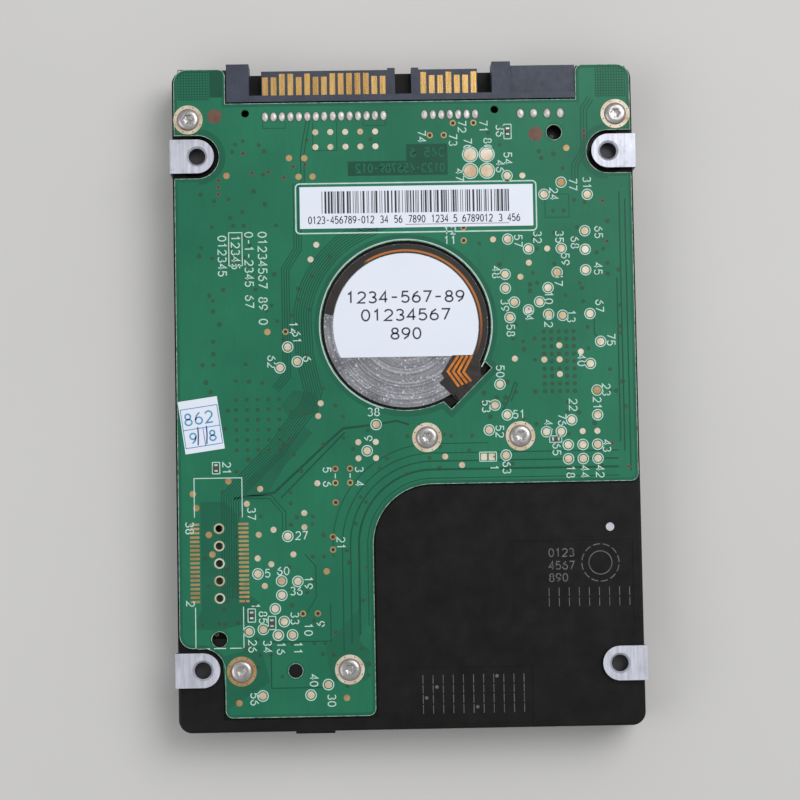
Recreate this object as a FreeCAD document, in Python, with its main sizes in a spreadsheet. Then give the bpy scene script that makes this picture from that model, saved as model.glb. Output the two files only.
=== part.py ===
"""A 2.5 inch hard disk drive, 9.5 mm high, lying on its cover with the circuit board side up.

Frame: +Z up, out of the circuit board side.  +Y points out of the connector end, +X to the right when
the board side faces the viewer and the connector is at the top.  The origin is the middle of the cover's
outer face, so the drive stands on Z = 0.  All sizes are in millimetres.
"""
import FreeCAD, Part
import math
import os
import re

import Sketcher

SIZES = {
    # the form factor: outside size and fixing holes
    "drive_width": 69.85,
    "drive_length": 100.2,
    "drive_height": 9.5,
    "hole_setback": 14.0,  # front row of fixing holes, behind the connector end
    "rear_hole_setback": 9.6,  # rear row, ahead of the rear end: 76.6 behind the front row
    "hole_inset": 4.065,  # from each side: the rows are 61.72 apart
    "side_hole_drop": 3.0,  # side hole centre below the lug faces
    "mount_hole_radius": 1.25,
    "mount_hole_depth": 2.5,
    "mouth_chamfer": 0.3,
    # the cast base
    "lug_radius": 2.55,
    "lug_boss_radius": 3.4,
    "rail_step": 0.325,  # side walls stand this far inside the lugs' sides
    "rear_step": 0.35,  # rear wall stands this far inside the rear foot
    "front_step": 0.75,  # front wall and board edge behind the connector face
    "case_wall": 1.2,
    "case_corner_radius": 2.0,
    "edge_round": 0.35,
    "floor_thickness": 0.85,
    "plateau_drop": 1.05,  # voice coil plateau below the lug faces
    "mark_panel_depth": 0.12,
    "post_radius": 2.2,
    "rear_foot_width": 5.8,
    # the circuit board
    "board_drop": 0.65,  # board's outer face below the lug faces
    "board_thickness": 0.8,
    "board_side_gap": 0.3,  # board edge inside the side walls
    "board_gap": 0.3,  # between the board and the plateau
    "lug_cut_radius": 3.25,
    "big_corner_radius": 8.9,
    "board_corner_radius": 2.0,
    "board_small_radius": 1.1,
    "plateau_reach": 17.5,  # board's edge beside the plateau, ahead of the pivot
    "plateau_side_reach": 17.4,  # right edge of the board's rear leg, left of the pivot
    "board_rear_notch": 6.7,  # left edge of the rear leg, inside the board's side
    "board_rear_gap": 2.5,
    "board_left_rear": 3.2,  # board's rear left edge, ahead of the rear hole row
    "locating_hole_radius": 1.05,
    "tooling_hole_radius": 1.15,
    "test_hole_radius": 0.5,
    "test_hole_pitch": 2.58,
    # board screws
    "screw_head_radius": 1.65,
    "screw_head_height": 0.5,
    "screw_radius": 0.8,
    "screw_length": 2.4,
    "screw_hole_radius": 0.95,
    "star_radius": 0.62,
    "star_depth": 0.36,
    # cover and seal
    "cover_thickness": 0.5,
    "gasket_thickness": 0.4,
    "gasket_width": 0.9,
    "dimple_radius": 2.7,
    "dimple_depth": 0.5,
    "cover_screw_head_radius": 1.9,
    "cover_screw_head_height": 0.42,
    "cover_screw_radius": 0.9,
    "cover_screw_length": 2.6,
    "label_thickness": 0.08,
    "breather_radius": 0.8,
    # spindle motor
    "spindle_front_gap": 7.3,  # from the connector end to the discs
    "disc_bore_radius": 10.0,
    "disc_thickness": 0.635,
    "spacer_thickness": 1.6,
    "spacer_radius": 11.6,
    "disc_well_gap": 0.9,
    "hub_clearance": 0.03,
    "hub_flange_radius": 11.6,
    "hub_flange_thickness": 0.55,
    "skirt_radius": 7.3,
    "skirt_wall": 0.9,
    "skirt_height": 2.0,
    "rotor_magnet_thickness": 0.9,
    "stator_air_gap": 0.2,
    "stator_height": 1.3,
    "stator_teeth": 9,
    "cup_radius": 12.3,
    "cup_wall": 0.9,
    "cup_plate": 0.8,
    "cup_drop": 0.5,  # cup face below the board's outer face
    "motor_hole_gap": 0.45,
    "motor_ring_width": 1.5,
    "shaft_radius": 1.5,
    "shaft_clearance": 0.03,
    "sleeve_radius": 3.2,
    "cup_boss_radius": 4.6,
    "clamp_radius": 11.4,
    "clamp_plate": 0.3,
    "flex_thickness": 0.1,
    "flex_bend": 6.0,
    "flex_landing": 7.6,  # the inner flex ends this far inside the board leg's side
    "flex_ring_width": 1.32,
    "notch_half_width": 4.3,
    "notch_reach": 1.35,
    # head actuator
    "pivot_side_gap": 21.4,  # pivot axis from the well's right wall
    "pivot_rear_gap": 17.55,  # and from its rear wall
    "arm_clearance": 0.25,
    "end_arm_thickness": 0.5,
    "head_gap": 0.35,
    "floor_clearance": 0.18,
    "head_pass": 7.0,  # the heads' arc passes this far from the spindle axis
    "park_gap": 2.1,  # parked heads lie this far outside the discs
    "inner_track_radius": 13.4,
    "comb_radius": 6.3,
    "arm_length": 25.0,
    "arm_root_half": 4.2,
    "arm_tip_half": 1.9,
    "suspension_thickness": 0.08,
    "slider_height": 0.2,
    "pivot_shaft_radius": 2.0,
    "pivot_sleeve_radius": 4.4,
    "pivot_sleeve_wall": 0.7,
    "bearing_ball_radius": 0.38,
    "bearing_height": 1.1,
    "tab_reach": 2.2,
    # voice coil motor
    "yoke_gap": 0.2,
    "yoke_thickness": 1.2,
    "yoke_inner": 6.8,
    "yoke_outer": 17.2,
    "yoke_margin_angle": 17.5,
    "magnet_thickness": 1.1,
    "magnet_inner": 8.0,
    "magnet_outer": 16.3,
    "coil_gap": 0.3,
    "coil_thickness": 1.7,
    "coil_inner": 8.4,
    "coil_outer": 16.0,
    "coil_angle": 48.0,
    "coil_band": 2.5,
    "frame_margin": 0.5,
    "frame_angle": 54.0,
    "post_reach": 13.5,
    "stop_radius": 1.9,
    "stop_core_radius": 1.1,
    "stop_gap_angle": 9.7,
    "latch_offset": 17.6,
    "latch_rise": 9.4,
    "latch_pin_radius": 0.75,
    "latch_clearance": 0.05,
    # connector
    "contact_pitch": 1.27,
    "contact_width": 0.85,
    "contact_thickness": 0.15,
    "contact_row_setback": 8.1,  # solder row behind the connector face
    "power_first": -20.6,
    "signal_first": 3.35,
    "jumper_first": 17.8,
    "jumper_pitch": 2.0,
    "tongue_drop": 2.9,  # contact faces below the lug faces
    "tongue_thickness": 1.2,
    "connector_depth": 5.75,
    "connector_bar": 0.95,
    "connector_drop": 0.7,
    "connector_height": 4.6,
    "pin_hole_radius": 0.4,
    "header_width": 2.8,
    "header_length": 10.6,
    "header_socket_height": 1.45,
}

doc = FreeCAD.newDocument("hard_disk_drive")
NODES = {}  # node name -> the object whose shape is written


def make_sheet():
    """The spreadsheet of driving dimensions, one named cell each."""
    made = doc.addObject("Spreadsheet::Sheet", "Sizes")
    for row, (alias, size) in enumerate(SIZES.items(), start=1):
        made.set(f"A{row}", alias)
        made.set(f"B{row}", str(size))
        made.setAlias(f"B{row}", alias)
    doc.recompute()
    return made


sheet = make_sheet()


def linked(text):
    """An expression with each size's name pointed at its cell."""
    return re.sub(r"[a-z][a-z_]+[a-z]", lambda m: f"Sizes.{m.group()}" if m.group() in SIZES else m.group(),
                  text)


def size(text):
    """The number that an expression of sizes gives now."""
    found = sheet.evalExpression(linked(text))
    return float(found.Value if hasattr(found, "Value") else found)


def bind(thing, **properties):
    """Binds properties to expressions of sizes; a double underscore stands for a dot."""
    for name, text in properties.items():
        thing.setExpression(name.replace("__", "."), linked(text))
    return thing


# ---------------------------------------------------------------- places worked out from the sizes
EDGE = "(drive_width / 2)"
FRONT = "(drive_length / 2)"
REAR = "(-drive_length / 2)"
WALL_X = f"({EDGE} - rail_step)"
WALL_FRONT = f"({FRONT} - front_step)"
WALL_REAR = f"({REAR} + rear_step)"
HOLE_X = f"({EDGE} - hole_inset)"
ROW_FRONT = f"({FRONT} - hole_setback)"
ROW_REAR = f"({REAR} + rear_hole_setback)"
WELL_X = f"({WALL_X} - case_wall)"
WELL_REAR = f"({WALL_REAR} + case_wall)"
DISC = f"({WELL_X} - disc_well_gap)"
SPIN_Y = f"({FRONT} - spindle_front_gap - {DISC})"
PIVOT_X = f"({WELL_X} - pivot_side_gap)"
PIVOT_Y = f"({WELL_REAR} + pivot_rear_gap)"
PIVOT = (PIVOT_X, PIVOT_Y)
SPINDLE = ("0", SPIN_Y)

SEAT = "(cover_thickness + gasket_thickness)"
ARM_COVER = "(cover_thickness + arm_clearance)"
DISC_COVER = f"({ARM_COVER} + end_arm_thickness + head_gap)"
DISC_BASE = f"({DISC_COVER} + disc_thickness + spacer_thickness)"
STACK_TOP = f"({DISC_BASE} + disc_thickness)"
ARM_MIDDLE = f"({DISC_COVER} + disc_thickness + head_gap)"
MIDDLE_ARM = "(spacer_thickness - 2 * head_gap)"
ARM_BASE = f"({STACK_TOP} + head_gap)"
COMB_TOP = f"({ARM_BASE} + end_arm_thickness)"
FLOOR = f"({COMB_TOP} + floor_clearance)"
CAVITY = f"({FLOOR} + floor_thickness)"
YOKE_COVER = "(cover_thickness + yoke_gap)"
MAGNET_COVER = f"({YOKE_COVER} + yoke_thickness)"
COIL = f"({MAGNET_COVER} + magnet_thickness + coil_gap)"
MAGNET_BASE = f"({COIL} + coil_thickness + coil_gap)"
YOKE_BASE = f"({MAGNET_BASE} + magnet_thickness)"
WELL = f"({YOKE_BASE} + yoke_thickness)"
PLATEAU = "(drive_height - plateau_drop)"
BOARD_TOP = "(drive_height - board_drop)"
BOARD = f"({BOARD_TOP} - board_thickness)"
CUP_FACE = f"({BOARD_TOP} - cup_drop)"

BOARD_X = f"({WALL_X} - board_side_gap)"
PLATEAU_Y = f"({PIVOT_Y} + plateau_reach)"
LEG_X = f"({PIVOT_X} - plateau_side_reach)"
LEG_SIDE = f"({BOARD_X} - board_rear_notch)"
LEG_REAR = f"({REAR} + board_rear_gap)"
LEFT_REAR = f"({ROW_REAR} + board_left_rear)"
CONNECTOR_REAR = f"({FRONT} - connector_depth)"
CONNECTOR_TOP = "(drive_height - connector_drop)"
TONGUE = "(drive_height - tongue_drop)"

PIVOT_DROP = f"({SPIN_Y} - {PIVOT_Y})"
PIVOT_TO_SPINDLE = f"sqrt({PIVOT_X} ^ 2 + {PIVOT_DROP} ^ 2)"
SPINDLE_BEARING = f"(180 - atan({PIVOT_DROP} / {PIVOT_X}) / 1deg)"
HEAD_REACH = f"({PIVOT_TO_SPINDLE} - head_pass)"


def angle_for_track(radius):
    """The arm's angle off the line to the spindle when the heads are this far from the spindle."""
    sides = f"({PIVOT_TO_SPINDLE} ^ 2 + {HEAD_REACH} ^ 2 - ({radius}) ^ 2)"
    return f"(acos({sides} / (2 * {PIVOT_TO_SPINDLE} * {HEAD_REACH})) / 1deg)"


PARK_ANGLE = f"({SPINDLE_BEARING} + {angle_for_track(f'{DISC} + park_gap')})"
SWING = f"({angle_for_track(f'{DISC} + park_gap')} - {angle_for_track('inner_track_radius')})"
COIL_ANGLE = f"({PARK_ANGLE} + 180)"
MOTOR_ANGLE = f"({COIL_ANGLE} - {SWING} / 2)"

BOARD_SCREW_PLACES = [
    (f"-({BOARD_X} - 2.1)", f"({FRONT} - 8.35)"),
    (f"({BOARD_X} - 2.2)", f"({FRONT} - 8.3)"),
    ("2.85", f"({PLATEAU_Y} + 6.95)"),
    ("16.8", f"({PLATEAU_Y} + 6.95)"),
    (f"(2.4 - {LEG_SIDE})", f"({ROW_REAR} - 0.25)"),
    (f"({LEG_X} - 3.8)", f"({ROW_REAR} - 0.25)"),
]
LOCATING_PIN_PLACE = (f"(({LEG_X} - {LEG_SIDE} - 1.4) / 2)", f"({ROW_REAR} - 0.3)")
BREATHER_PLACE = (f"({PIVOT_X} - 20)", f"({WELL_REAR} + 6.5)")
LABEL_LOW = (f"-({WALL_X} - 7)", f"({PIVOT_Y} + 5)")
LABEL_HIGH = (f"({WALL_X} - 7)", f"({FRONT} - 9)")
HEADER_PLACE = (f"(6.0 - {BOARD_X})", f"({LEFT_REAR} + 10.5)")
COVER_SCREW_PLACES = [
    (f"-({EDGE} - 3.3)", f"({FRONT} - 3.6)"),
    (f"({EDGE} - 3.3)", f"({FRONT} - 3.6)"),
    (f"-({EDGE} - 3.3)", f"({REAR} + 3.5)"),
    (f"({EDGE} - 3.3)", f"({REAR} + 3.5)"),
    (PIVOT_X, PIVOT_Y),
]


# ---------------------------------------------------------------- helpers: primitives and booleans
def box(name, x, y, z, along_x, along_y, along_z, angle=None, spin=("0", "0")):
    """A block from its lowest corner; with an angle it turns about the point spin in plan."""
    made = doc.addObject("Part::Box", name)
    bind(made, Length=along_x, Width=along_y, Height=along_z)
    if angle is None:
        return bind(made, Placement__Base__x=x, Placement__Base__y=y, Placement__Base__z=z)
    made.Placement = FreeCAD.Placement(FreeCAD.Vector(), FreeCAD.Rotation(FreeCAD.Vector(0, 0, 1), 10))
    turned_x = f"({spin[0]} + ({x}) * cos({angle}) - ({y}) * sin({angle}))"
    turned_y = f"({spin[1]} + ({x}) * sin({angle}) + ({y}) * cos({angle}))"
    return bind(made, Placement__Rotation__Angle=f"{angle} * 1deg", Placement__Base__x=turned_x,
                Placement__Base__y=turned_y, Placement__Base__z=z)


def rod(name, x, y, z, radius, height):
    made = doc.addObject("Part::Cylinder", name)
    return bind(made, Radius=radius, Height=height, Placement__Base__x=x, Placement__Base__y=y,
                Placement__Base__z=z)


def cut(name, base, *tools):
    made = doc.addObject("Part::Cut", name)
    made.Base = base
    made.Tool = tools[0] if len(tools) == 1 else fuse(f"{name}_tools", *tools)
    return made


def fuse(name, *shapes):
    made = doc.addObject("Part::MultiFuse", name)
    made.Shapes = list(shapes)
    return made


def group(name, *shapes):
    """Separate solids kept together as one node."""
    made = doc.addObject("Part::Compound", name)
    made.Links = list(shapes)
    return made


def ring(name, x, y, z, outer, inner, height):
    return cut(name, rod(f"{name}_outside", x, y, z, outer, height),
               rod(f"{name}_inside", x, y, z, inner, height))


def wedge(name, centre, z, radius, start, sweep, height):
    """A slice of a cylinder, from the angle start over the angle sweep."""
    made = rod(name, centre[0], centre[1], z, radius, height)
    made.Placement = FreeCAD.Placement(FreeCAD.Vector(), FreeCAD.Rotation(FreeCAD.Vector(0, 0, 1), 10))
    turned = f"mod({start} + 720; 360)"
    bind(made, Angle=sweep, Placement__Rotation__Angle=f"({turned}) * 1deg",
         Placement__Base__x=centre[0], Placement__Base__y=centre[1], Placement__Base__z=z)
    return made


def sector(name, centre, z, outer, inner, start, sweep, height):
    """A slice of a ring."""
    return cut(name, wedge(f"{name}_slice", centre, z, outer, start, sweep, height),
               rod(f"{name}_hollow", centre[0], centre[1], z, inner, height))


def node(name, thing):
    """Names a finished piece; its file takes the name."""
    thing.Label = name
    NODES[name] = thing
    return thing


def fixed_shape(name, shape):
    """A piece made with Part's own functions from the sizes in the sheet."""
    made = doc.addObject("Part::Feature", name)
    made.Shape = shape
    return made


def point_at(x, y, z="0"):
    return FreeCAD.Vector(size(x), size(y), size(z))


# ---------------------------------------------------------------- helpers: sketched bodies
def body(name):
    made = doc.addObject("PartDesign::Body", name)
    made.Label = name
    return made


def sketch(owner, name, level, outlines=(), circles=(), role="XY_Plane"):
    """A sketch at a level: closed outlines of corner points and circles, all bound to the sizes."""
    made = owner.newObject("Sketcher::SketchObject", name)
    plane = next(f for f in owner.Origin.OriginFeatures if f.Role == role)
    made.AttachmentSupport = [(plane, "")]
    made.MapMode = "FlatFace"
    bind(made, AttachmentOffset__Base__z=level)

    def hold(kind, *where_and_text):
        *where, text = where_and_text
        index = made.addConstraint(Sketcher.Constraint(kind, *where, size(text)))
        made.setExpression(f"Constraints[{index}]", linked(text))

    for corners in outlines:
        first = made.GeometryCount
        spots = [point_at(x, y) for x, y in corners]
        count = len(spots)
        for i in range(count):
            made.addGeometry(Part.LineSegment(spots[i], spots[(i + 1) % count]))
        for i, (x, y) in enumerate(corners):
            made.addConstraint(Sketcher.Constraint("Coincident", first + i, 2, first + (i + 1) % count, 1))
            hold("DistanceX", -1, 1, first + i, 1, x)
            hold("DistanceY", -1, 1, first + i, 1, y)
    for x, y, radius in circles:
        index = made.addGeometry(Part.Circle(point_at(x, y), FreeCAD.Vector(0, 0, 1), size(radius)))
        hold("DistanceX", -1, 1, index, 3, x)
        hold("DistanceY", -1, 1, index, 3, y)
        hold("Radius", index, radius)
    return made


def raise_up(owner, name, level, height, outlines=(), circles=(), role="XY_Plane"):
    """A pad from the sketch level upwards."""
    profile = sketch(owner, f"{name}_outline", level, outlines, circles, role)
    made = owner.newObject("PartDesign::Pad", name)
    made.Profile = profile
    bind(made, Length=height)
    doc.recompute()
    return made


def sink(owner, name, level, depth, outlines=(), circles=(), role="XY_Plane", outward=False):
    """A pocket from the sketch level, against the plane's normal unless outward."""
    before = owner.Shape.Volume
    profile = sketch(owner, f"{name}_outline", level, outlines, circles, role)
    made = owner.newObject("PartDesign::Pocket", name)
    made.Profile = profile
    made.Reversed = outward
    bind(made, Length=depth)
    doc.recompute()
    if not owner.Shape.Volume < before - 1e-6:
        raise RuntimeError(f"{name} cuts nothing")
    return made


def edges_where(shape, wanted):
    return [f"Edge{i}" for i, e in enumerate(shape.Edges, start=1) if wanted(e)]


def upright_at(corners):
    """A test for the vertical edges that stand at any of these places."""
    spots = [point_at(x, y) for x, y in corners]

    def wanted(edge):
        a, b = edge.Vertexes[0].Point, edge.Vertexes[-1].Point
        upright = math.hypot(a.x - b.x, a.y - b.y) < 1e-4 and abs(a.z - b.z) > 1e-3
        return upright and any(math.hypot(a.x - s.x, a.y - s.y) < 0.02 for s in spots)

    return wanted


def round_edges(owner, name, wanted, radius, kind="Fillet"):
    """Rounds or bevels the edges of the body's current shape that pass the test wanted."""
    found = edges_where(owner.Shape, wanted)
    if not found:
        raise RuntimeError(f"{name} finds no edge")
    last = owner.Tip
    made = owner.newObject(f"PartDesign::{kind}", name)
    made.Base = (last, found)
    if kind == "Fillet":
        bind(made, Radius=radius)
    else:
        bind(made, Size=radius)
    doc.recompute()
    owner.Tip = made
    return made


def rectangle(x_low, y_low, x_high, y_high):
    return [(x_low, y_low), (x_high, y_low), (x_high, y_high), (x_low, y_high)]


def around(place, along_x, along_y):
    """The corners of a rectangle about its middle."""
    x, y = place
    return rectangle(f"({x} - ({along_x}) / 2)", f"({y} - ({along_y}) / 2)",
                     f"({x} + ({along_x}) / 2)", f"({y} + ({along_y}) / 2)")


def mirrored(places):
    """The places and their mirror images across the drive's middle."""
    return places + [(f"-({x})", y) for x, y in places]


# ---------------------------------------------------------------- the cast base
BOARD_OUTLINE = [
    (f"-{BOARD_X}", LEFT_REAR),
    (f"-{LEG_SIDE}", LEFT_REAR),
    (f"-{LEG_SIDE}", LEG_REAR),
    (LEG_X, LEG_REAR),
    (LEG_X, PLATEAU_Y),
    (BOARD_X, PLATEAU_Y),
    (BOARD_X, WALL_FRONT),
    ("26.15", WALL_FRONT),
    ("26.15", f"({CONNECTOR_REAR} - 0.25)"),
    ("-26.6", f"({CONNECTOR_REAR} - 0.25)"),
    ("-26.6", WALL_FRONT),
    (f"-{BOARD_X}", WALL_FRONT),
]
NOTCH_CORNERS = [("cup_radius - 2.3", "-notch_half_width"),
                 ("cup_radius + notch_reach", "-notch_half_width"),
                 ("cup_radius + notch_reach", "notch_half_width"), ("cup_radius - 2.3", "notch_half_width")]


def turned_about_motor(corners, angle, grow="0"):
    """Corner points given along and across a line that leaves the motor at this angle."""
    made = []
    for along, across in corners:
        far = f"({along} + {grow})" if along != "10" else along
        wide = f"({across} - {grow})" if across.startswith("-") else f"({across} + {grow})"
        made.append((f"({far} * cos({angle}) - {wide} * sin({angle}))",
                     f"({SPIN_Y} + {far} * sin({angle}) + {wide} * cos({angle}))"))
    return made


def base_casting():
    """The tub that holds everything: wells for discs and coil on one side, the board bed on the other."""
    base = body("base_casting")
    lugs = mirrored([(HOLE_X, ROW_FRONT), (HOLE_X, ROW_REAR)])
    raise_up(base, "shell", SEAT, f"{PLATEAU} - {SEAT}",
             [rectangle(f"-{WALL_X}", WALL_REAR, WALL_X, WALL_FRONT)])
    round_edges(base, "case_corners", upright_at([(f"-{WALL_X}", WALL_REAR), (WALL_X, WALL_REAR),
                                                  (WALL_X, WALL_FRONT), (f"-{WALL_X}", WALL_FRONT)]),
                "case_corner_radius")
    far = f"({EDGE} + 5)"
    side = f"({LEG_SIDE} + board_gap)"
    bed = [
        (f"-{far}", f"({LEFT_REAR} - board_gap)"),
        (f"-{side}", f"({LEFT_REAR} - board_gap)"),
        (f"-{side}", f"({LEG_REAR} - board_gap)"),
        (f"({LEG_X} + board_gap)", f"({LEG_REAR} - board_gap)"),
        (f"({LEG_X} + board_gap)", f"({PLATEAU_Y} - board_gap)"),
        (far, f"({PLATEAU_Y} - board_gap)"),
        (far, f"({FRONT} + 5)"),
        (f"-{far}", f"({FRONT} + 5)"),
    ]
    sink(base, "board_bed", PLATEAU, f"{PLATEAU} - {BOARD}", [bed])
    round_edges(base, "plateau_corner", upright_at(bed[4:5]), "big_corner_radius - board_gap")
    round_edges(base, "bed_corner", upright_at(bed[1:2]), "lug_boss_radius - board_gap")
    in_x = f"({WELL_X} - 0.3)"
    cavity = [
        (f"-{in_x}", f"({LEFT_REAR} + 1.4)"),
        (f"(1.4 - {LEG_SIDE})", f"({LEFT_REAR} + 1.4)"),
        (f"(1.4 - {LEG_SIDE})", f"({LEG_REAR} + 1.4)"),
        (f"({LEG_X} - 1.4)", f"({LEG_REAR} + 1.4)"),
        (f"({LEG_X} - 1.4)", f"({PLATEAU_Y} - big_corner_radius)"),
        (f"({LEG_X} + 0.15 * big_corner_radius)", f"({PLATEAU_Y} - 0.15 * big_corner_radius)"),
        (f"({LEG_X} + big_corner_radius)", f"({PLATEAU_Y} + 1.5)"),
        (in_x, f"({PLATEAU_Y} + 1.5)"),
        (in_x, f"({ROW_FRONT} - lug_cut_radius - 1.4)"),
        (f"({HOLE_X} - lug_cut_radius - 1.4)", f"({ROW_FRONT} - lug_cut_radius - 1.4)"),
        (f"({HOLE_X} - lug_cut_radius - 1.4)", f"{CONNECTOR_REAR}"),
        (f"-({HOLE_X} - lug_cut_radius - 1.4)", f"{CONNECTOR_REAR}"),
        (f"-({HOLE_X} - lug_cut_radius - 1.4)", f"({ROW_FRONT} - lug_cut_radius - 1.4)"),
        (f"-{in_x}", f"({ROW_FRONT} - lug_cut_radius - 1.4)"),
    ]
    sink(base, "component_cavity", BOARD, f"{BOARD} - {CAVITY}", [cavity])
    sink(base, "lug_pockets", BOARD, "0.8",
         circles=[(x, ROW_FRONT, "lug_cut_radius") for x in (HOLE_X, f"-{HOLE_X}")])
    raise_up(base, "board_posts", CAVITY, f"{BOARD} - {CAVITY}",
             circles=[(x, y, "post_radius") for x, y in BOARD_SCREW_PLACES[2:]])
    raise_up(base, "motor_ring", CAVITY, f"{BOARD} - {CAVITY}",
             circles=[("0", SPIN_Y, "cup_radius + motor_ring_width")])
    raise_up(base, "locating_pin", CAVITY, f"{BOARD_TOP} - {CAVITY} - 0.15",
             circles=[(*LOCATING_PIN_PLACE, "locating_hole_radius - 0.08")])
    sink(base, "connector_bay", f"{PLATEAU} + 1",
         f"{PLATEAU} + 1 - {CONNECTOR_TOP} + connector_height + 0.4",
         [rectangle("-28.3", f"({CONNECTOR_REAR} - 0.1)", "26.3", f"({FRONT} + 5)")])
    sink(base, "disc_well", FLOOR, f"{FLOOR}", circles=[("0", SPIN_Y, WELL_X)])
    inner = f"({HOLE_X} - lug_boss_radius)"
    shallow = [
        (f"-{WELL_X}", f"({SPIN_Y} - 14)"),
        (f"-{WELL_X}", f"({ROW_REAR} + 3.8)"),
        (f"-{inner}", f"({ROW_REAR} - 1)"),
        (f"-{inner}", f"({ROW_REAR} - 4.6)"),
        (f"(3 - {inner})", WELL_REAR),
        ("-3", WELL_REAR),
        ("-3", f"({SPIN_Y} - 14)"),
    ]
    sink(base, "head_well", FLOOR, FLOOR, [shallow])
    sink(base, "filter_well", FLOOR, FLOOR,
         [rectangle("20", f"({PLATEAU_Y} - 4)", WELL_X, f"({SPIN_Y} - 14)")])
    deep = [
        ("-3.4", WELL_REAR),
        (f"({inner} - 3)", WELL_REAR),
        (inner, f"({ROW_REAR} - 4.6)"),
        (inner, ROW_REAR),
        (WELL_X, f"({ROW_REAR} + 3.8)"),
        (WELL_X, f"({PLATEAU_Y} - 1.8)"),
        ("2.2", f"({PLATEAU_Y} - 1.8)"),
        ("-3.4", f"({PLATEAU_Y} - 7.4)"),
    ]
    sink(base, "coil_well", WELL, WELL, [deep])
    raise_up(base, "lug_bosses", SEAT, f"drive_height - {SEAT} - 2",
             circles=[(x, y, "lug_boss_radius") for x, y in lugs if y == ROW_REAR])
    raise_up(base, "lug_rounds", f"{CAVITY} - 1", f"drive_height - {CAVITY} + 1",
             circles=[(x, y, "lug_radius") for x, y in lugs])
    for place, (x, y) in enumerate(lugs):
        outer = EDGE if not x.startswith("-") else f"-{EDGE}"
        low, high = (x, outer) if not x.startswith("-") else (outer, x)
        raise_up(base, f"lug_rail_{place + 1}", "2.6", "drive_height - 2.6",
                 [rectangle(low, f"({y} - lug_radius)", high, f"({y} + lug_radius)")])
    raise_up(base, "rear_foot", SEAT, f"{PLATEAU} - {SEAT} - 0.6",
             [rectangle("-17.3", REAR, "(rear_foot_width - 17.3)", f"({WALL_REAR} + 0.3)")])
    sink(base, "motor_bore", f"{BOARD} + 1", f"{BOARD} + 1", circles=[("0", SPIN_Y, "cup_radius")])
    sink(base, "flex_exit", BOARD, "0.5", [turned_about_motor(NOTCH_CORNERS, "-45", grow="0.4")])
    sink(base, "mount_holes", "drive_height", "mount_hole_depth",
         circles=[(x, y, "mount_hole_radius") for x, y in lugs])
    rows = [(y, "(drive_height - side_hole_drop)", "mount_hole_radius") for y in (ROW_FRONT, ROW_REAR)]
    sink(base, "right_side_holes", EDGE, "mount_hole_depth", circles=rows, role="YZ_Plane")
    sink(base, "left_side_holes", f"-{EDGE}", "mount_hole_depth", circles=rows, role="YZ_Plane",
         outward=True)
    sink(base, "screw_holes", BOARD, "screw_length - board_thickness + 0.1",
         circles=[(x, y, "screw_radius") for x, y in BOARD_SCREW_PLACES])
    sink(base, "dimple_seats", f"{SEAT} + cover_thickness + dimple_depth - {SEAT}", "3",
         circles=[(x, y, "dimple_radius + 0.1") for x, y in COVER_SCREW_PLACES[:4]])
    sink(base, "cover_screw_holes", "cover_thickness + cover_screw_length + 0.2", "5",
         circles=[(x, y, "cover_screw_radius") for x, y in COVER_SCREW_PLACES[:4]])
    sink(base, "header_window", f"{CAVITY} + 1", "5",
         [around(HEADER_PLACE, "header_width + 0.6", "header_length + 0.6")])
    panel = [rectangle("15.2", f"({ROW_REAR} + 5.9)", "33.2", f"({ROW_REAR} + 18.3)"),
             rectangle("-0.2", f"({ROW_REAR} - 8.6)", "17.9", f"({ROW_REAR} - 0.2)")]
    sink(base, "mark_panels", PLATEAU, "mark_panel_depth", panel)
    mouth = size("drive_height")

    def hole_mouth(edge):
        ring_edge = isinstance(edge.Curve,
                               Part.Circle) and abs(edge.Curve.Radius - size("mount_hole_radius")) < 1e-6
        return ring_edge and abs(edge.Vertexes[0].Point.z - mouth) < 1e-6

    round_edges(base, "hole_mouths", hole_mouth, "mouth_chamfer", kind="Chamfer")
    level = size(PLATEAU)
    side_x, rear_y = size(WALL_X), size(WALL_REAR)

    def outer_rim(edge):
        a, b = edge.Vertexes[0].Point, edge.Vertexes[-1].Point
        flat = abs(a.z - level) < 1e-5 and abs(b.z - level) < 1e-5
        middle = edge.valueAt((edge.FirstParameter + edge.LastParameter) / 2)
        return flat and (abs(abs(middle.x) - side_x) < 1e-4 or abs(middle.y - rear_y) < 1e-4
                         or (abs(middle.x) > side_x - 0.7 and middle.y < rear_y + 0.7))

    round_edges(base, "rim_rounds", outer_rim, "edge_round")
    return node("base_casting", base)


# ---------------------------------------------------------------- cover, seal and outside trim
def well_outline():
    """The wells' joint outline in plan, as one face."""
    inner = size(f"{HOLE_X} - lug_boss_radius")
    well_x, rear = size(WELL_X), size(WELL_REAR)
    row, disc_y = size(ROW_REAR), size(SPIN_Y)
    half = [(0, disc_y - 8), (well_x, disc_y - 8), (well_x, row + 4.6), (inner, row + 1.4),
            (inner, row - 4.6), (inner - 3, rear), (0, rear)]
    corners = half + [(-x, y) for x, y in reversed(half[1:-1])]
    wells = Part.Face(Part.makePolygon([FreeCAD.Vector(x, y, 0) for x, y in corners + corners[:1]]))
    round_well = Part.makeCylinder(well_x, 1, FreeCAD.Vector(0, disc_y, 0))
    joined = wells.extrude(FreeCAD.Vector(0, 0, 1)).fuse(round_well).removeSplitter()
    return next(face for face in joined.Faces if face.BoundBox.ZMax < 0.5)


def cover_gasket():
    """The seal between cover and base follows the wells' edge."""
    outline = well_outline()
    band = outline.makeOffset2D(size("gasket_width + 0.12")).cut(outline.makeOffset2D(0.12))
    made = fixed_shape("cover_gasket", band.extrude(FreeCAD.Vector(0, 0, size("gasket_thickness"))))
    bind(made, Placement__Base__z="cover_thickness")
    return node("cover_gasket", made)


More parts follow.
